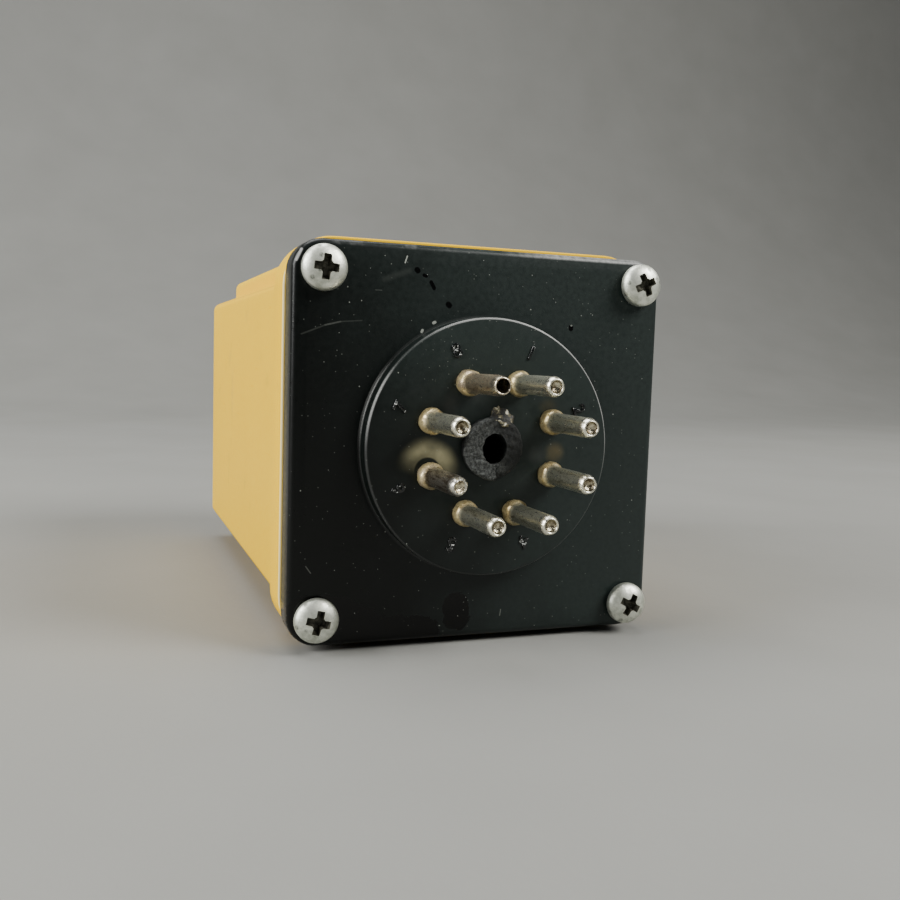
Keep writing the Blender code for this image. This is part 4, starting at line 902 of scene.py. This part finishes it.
def makeCover():
    values = coverValues
    front, flangeBack = values["front"], values["front"] + values["flangeDepth"]
    body = addNotchedBody(values, 0, (front + flangeBack) / 2, values["back"], values["corner"])
    roundEdges(body, atY(values["back"]), values["endRound"], 5)
    halfX, halfZ = values["flangeWidth"] / 2, values["flangeHeight"] / 2
    cover = addBlock((-halfX, front, axisHeight - halfZ), (halfX, flangeBack, axisHeight + halfZ))
    roundEdges(cover, alongY, values["flangeCorner"], 10)
    roundEdges(cover, atY(flangeBack), values["flangeRound"], 4)
    roundEdges(cover, atY(front), values["frontRound"], 4)
    combine(cover, [body], "UNION")
    bodyX, bodyZ = values["bodyWidth"] / 2, values["bodyHeight"] / 2

    def onBodyLine(edge):
        inside = all(abs(corner.co.x) < bodyX + 0.01
                     and abs(corner.co.z - axisHeight) < bodyZ + 0.01 for corner in edge.verts)
        return atY(flangeBack)(edge) and inside

    roundEdges(cover, onBodyLine, values["joinRound"], 3)
    hollow = addNotchedBody(values, values["wall"], front - 1, values["back"] - values["wall"],
                            values["hollowCorner"])
    combine(cover, [hollow], "DIFFERENCE")
    holes = []
    for number in range(1, 5):
        place = screwPlace(number)
        holes.append(addRod(values["screwHole"], front - 1, values["screwHoleEnd"],
                            place.x, place.z, 32))
    combine(cover, [joinPieces(holes)], "DIFFERENCE")
    settle(cover, "yellowCover", [yellow], nodes=["cover"], sharpAngle=30)
    print("cover made:", len(cover.data.polygons), "faces")


makeCover()


# Cover screws

def addRecess(values):
    # a cross that narrows with depth, and a cone in its middle
    top, depth = values["top"] - 0.4, values["recessDepth"] + 0.4
    wings = []
    for turn in (0, 90):
        wing = addBlock((-values["recessSpan"] / 2, top, -values["recessWidth"] / 2),
                        (values["recessSpan"] / 2, top + depth, values["recessWidth"] / 2))
        openPiece(wing)
        pick(wing, "FACE", lambda face: face.normal.y > 0.9)
        bpy.ops.transform.resize(value=(values["taper"], 1, values["taper"] + 0.1),
                                 center_override=(0, top + depth, 0))
        closePiece()
        wing.data.transform(Matrix.Rotation(math.radians(turn), 4, "Y"))
        wings.append(wing)
    cone = addTurned([(0, top), (values["cone"] + 0.12, top), (values["cone"], top + 0.5),
                      (values["cone"] * 0.6, top + depth), (0, top + depth + 0.35)], 24, z=0)
    return combine(wings[0], [wings[1], cone], "UNION")


def headFace(values, away):
    # y of the domed head at a distance from its middle
    rise = values["seat"] - values["top"]
    dome = math.sqrt(max(0, 1 - (away / values["headRadius"]) ** 2))
    return values["seat"] - rise * (values["band"] + (1 - values["band"]) * dome)


def makeScrews():
    values = screwValues
    seat, top, radius = values["seat"], values["top"], values["headRadius"]
    end, shank, neck = seat + values["length"], values["shank"], values["neck"]
    profile = [(0, end), (0.5, end), (shank, end - 1.6), (shank, values["plateFace"]),
               (neck, values["plateFace"]), (neck, seat + 0.1), (radius - 0.15, seat),
               (radius, seat - 0.12), (radius, headFace(values, radius))]
    outs = [radius * math.cos(math.radians(angle)) for angle in range(9, 90, 9)]
    profile += [(out, headFace(values, out)) for out in outs]
    profile += [(0, top)]
    screw = addTurned(profile, values["sides"], z=0)
    combine(screw, [addRecess(values)], "DIFFERENCE")
    softenEdges(screw, values["rim"], 2, 42)
    for number, turn in values["turns"].items():
        copy = copyPiece(screw)
        middle = screwPlace(number)
        copy.data.transform(Matrix.Translation((middle.x, 0, middle.z))
                            @ Matrix.Rotation(math.radians(turn), 4, "Y"))
        settle(copy, f"coverScrew_{number}", [zinc, darkRecess],
               nodes=[f"cover_screw_{number}"], sharpAngle=38)
        for polygon in copy.data.polygons:
            place = polygon.center * metre
            away = math.hypot(place.x - middle.x, place.z - middle.z)
            # faces inside the cross recess take the darker recess colour
            if headFace(values, away) + 0.09 < place.y < seat - 0.1 and away < 1.95:
                polygon.material_index = 1
    bpy.data.objects.remove(screw)
    print("cover screws made")


makeScrews()


# Finishes of the mechanism inside

innerMetals = {
    "soft_steel": ("softSteel", (0.36, 0.36, 0.37), (0.56, 0.56, 0.56), 0.40, 0.9, 0.02),
    "spring_steel": ("springSteel", (0.42, 0.43, 0.45), (0.62, 0.62, 0.63), 0.24, 2.0, 0.01),
    "copper": ("copperWire", (0.42, 0.13, 0.05), (0.72, 0.30, 0.15), 0.28, 2.4, 0.04, 1.0,
               (0.15, 4, 0.15)),
    "brass": ("brassStrip", (0.46, 0.31, 0.10), (0.74, 0.55, 0.24), 0.30, 1.2, 0.015),
    "spring_bronze": ("springBronze", (0.50, 0.28, 0.12), (0.72, 0.44, 0.22), 0.28, 1.2, 0.015),
    "contact_silver": ("contactSilver", (0.52, 0.50, 0.46), (0.84, 0.83, 0.80), 0.26, 2.2, 0.02),
}
innerPlains = {
    "natural_nylon": ("naturalNylon", (0.62, 0.56, 0.42), (0.74, 0.69, 0.56), 0.42, 0.4),
    "coil_tape": ("coilTape", (0.66, 0.46, 0.10), (0.80, 0.60, 0.18), 0.36, 0.5, 0.04),
    "brown_phenolic": ("brownPhenolic", (0.055, 0.024, 0.012), (0.12, 0.055, 0.026), 0.46, 0.8,
                       0.03),
    "wire_insulation": ("wireInsulation", (0.50, 0.50, 0.47), (0.66, 0.66, 0.62), 0.5, 0.9, 0.02),
}
innerFinishes = {"zinc_steel": zinc, "black_phenolic": phenolic, "yellow_plastic": yellow,
                 "tinned_brass": tinned}
for slotName, values in innerMetals.items():
    innerFinishes[slotName] = makeMetal(*values)
for slotName, values in innerPlains.items():
    innerFinishes[slotName] = makePlain(*values)


# Return spring and the two leads that run to the armature's moving blades

springValues = {"radius": 1.6, "wire": 0.25, "turns": 7, "steps": 28, "lead": 2.2, "eye": 0.9,
                "start": (13.499, 9.5, 25.5), "end": (13.26, 25.85, 25.5)}


def addWire(points, radius):
    deselectAll()
    curve = bpy.data.curves.new("wire", "CURVE")
    curve.dimensions = "3D"
    curve.bevel_depth = radius
    curve.bevel_resolution = 4
    curve.use_fill_caps = True
    line = curve.splines.new("POLY")
    line.points.add(len(points) - 1)
    for point, place in zip(line.points, points):
        point.co = (*place, 1)
    wire = bpy.data.objects.new("wire", curve)
    bpy.context.collection.objects.link(wire)
    makeActive(wire)
    bpy.ops.object.convert(target="MESH")
    weld(wire)
    return wire


def makeReturnSpring():
    values = springValues
    start, end = Vector(values["start"]), Vector(values["end"])
    coilStart, coilEnd = start.y + values["lead"], end.y - values["lead"]
    count = values["turns"] * values["steps"]
    points = [start - Vector((0, 2.1, 0)), start + Vector((0, values["eye"] * 0.5, 0)),
              Vector((start.x + values["radius"] * 0.5, start.y + values["eye"] * 1.3, start.z))]
    for step in range(count + 1):
        share = step / count
        turn = 2 * math.pi * values["turns"] * share
        # the coils lie close together in the middle and open toward both hooks
        along = share + 0.05 * math.sin(2 * math.pi * share)
        lean = (end.x - start.x) * share
        points.append(Vector((start.x + lean + values["radius"] * math.cos(turn),
                              coilStart + (coilEnd - coilStart) * along,
                              start.z + values["radius"] * math.sin(turn))))
    points += [Vector((end.x + values["radius"] * 0.5, end.y - values["eye"] * 1.3, end.z)),
               end - Vector((0, values["eye"] * 0.5, 0)), end + Vector((0, 2.3, 0))]
    spring = addWire(points, values["wire"])
    settle(spring, "returnSpring", [innerFinishes["spring_steel"]], body=None,
           nodes=["return_spring"], sharpAngle=60)
    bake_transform(spring)


def makeMovingLead(number):
    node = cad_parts[f"lead_{number}"]
    lead = bpy.data.objects.new("lead", node.data.copy())
    bpy.context.collection.objects.link(lead)
    lead.data.transform(Matrix.Scale(metre, 4))
    weld(lead)
    settle(lead, f"movingLead_{number}", [innerFinishes["wire_insulation"]],
           body=None, nodes=[f"lead_{number}"], sharpAngle=50)
    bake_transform(lead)


makeReturnSpring()
makeMovingLead(1)
makeMovingLead(8)
print("spring and moving leads made")

for nodeName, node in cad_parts.items():
    for place in node.material_slots:
        slotName = place.material.name.split(".")[0]
        if slotName in innerFinishes:
            place.material = innerFinishes[slotName]
        else:
            print("no finish for", slotName)
print("mechanism finished")


# Floor, light and camera

stageValues = {"floorSize": 3.0, "wallHeight": 1.6, "wallPlace": 0.9, "bend": 0.5,
               "gap": 0.00005, "dark": (0.21, 0.21, 0.195), "light": (0.25, 0.25, 0.235),
               "roughness": 0.8, "airColour": (0.80, 0.84, 0.88, 1), "airStrength": 0.12}
cameraValues = {"place": (-0.04663, -0.14951, 0.03633), "lens": 39.17,
                "yaw": 0.3514, "pitch": 0.0921, "roll": -0.0311}
lightValues = {
    "key": {"place": (0.55, -0.42, 0.60), "size": 0.5, "energy": 10.5, "colour": (1, 0.99, 0.96)},
    "left": {"place": (-0.75, -0.08, 0.40), "size": 0.6, "energy": 11.5, "colour": (1, 1, 0.99)},
    "top": {"place": (-0.10, 0.20, 0.90), "size": 0.7, "energy": 7.0, "colour": (1, 1, 1)},
}


def makeFloor():
    values = stageValues
    size, back = values["floorSize"], values["wallPlace"]
    deselectAll()
    bpy.ops.mesh.primitive_plane_add(size=size, location=(0, back - size / 2, -values["gap"]))
    floor = bpy.context.object
    floor.name = "floor"
    bpy.ops.object.transform_apply(location=True, rotation=True, scale=True)
    openPiece(floor)
    pick(floor, "EDGE", lambda edge: all(corner.co.y > back - 0.01 for corner in edge.verts))
    bpy.ops.mesh.extrude_edges_move(
        TRANSFORM_OT_translate={"value": (0, 0, values["wallHeight"])})
    pick(floor, "EDGE", lambda edge: all(corner.co.y > back - 0.01 and corner.co.z < 0.01
                                         for corner in edge.verts))
    bpy.ops.mesh.bevel(offset=values["bend"], segments=16, profile=0.5, affect="EDGES")
    closePiece()
    bpy.ops.object.shade_smooth()
    finish, tree = newFinish("paleFloor", specular=0.2)
    where = places(tree)
    colour = mixed(tree, patches(tree, where, 0.02, 3), values["dark"], values["light"])
    complete(finish, colour, values["roughness"], patches(tree, where, 0.6, 4), 0.05)
    floor.data.materials.append(finish)


def makeLights():
    target = Vector((0, 0, 0.025))
    for name, values in lightValues.items():
        light = bpy.data.lights.new(name, "AREA")
        light.shape = "DISK"
        light.size = values["size"]
        light.energy = values["energy"]
        light.color = values["colour"]
        lamp = bpy.data.objects.new(name, light)
        lamp.location = values["place"]
        lamp.rotation_euler = (target - lamp.location).to_track_quat("-Z", "Y").to_euler()
        bpy.context.collection.objects.link(lamp)
    world = bpy.context.scene.world or bpy.data.worlds.new("softRoom")
    bpy.context.scene.world = world
    world.use_nodes = True
    air = world.node_tree.nodes["Background"]
    air.inputs["Color"].default_value = stageValues["airColour"]
    air.inputs["Strength"].default_value = stageValues["airStrength"]


def makeCamera():
    values = cameraValues
    sinYaw, cosYaw = math.sin(values["yaw"]), math.cos(values["yaw"])
    sinPitch, cosPitch = math.sin(values["pitch"]), math.cos(values["pitch"])
    ahead = Vector((sinYaw * cosPitch, cosYaw * cosPitch, -sinPitch))
    level = Vector((cosYaw, -sinYaw, 0))
    down = ahead.cross(level)
    turn = values["roll"]
    right = level * math.cos(turn) + down * math.sin(turn)
    up = level * math.sin(turn) - down * math.cos(turn)
    lens = bpy.data.cameras.new("camera")
    lens.lens = values["lens"]
    lens.sensor_width = 36
    lens.clip_start = 0.005
    camera = bpy.data.objects.new("camera", lens)
    camera.matrix_world = Matrix.Translation(values["place"]) @ Matrix(
        (right, up, -ahead)).transposed().to_4x4()
    bpy.context.collection.objects.link(camera)
    bpy.context.scene.camera = camera


makeFloor()
makeLights()
makeCamera()
print("stage set")
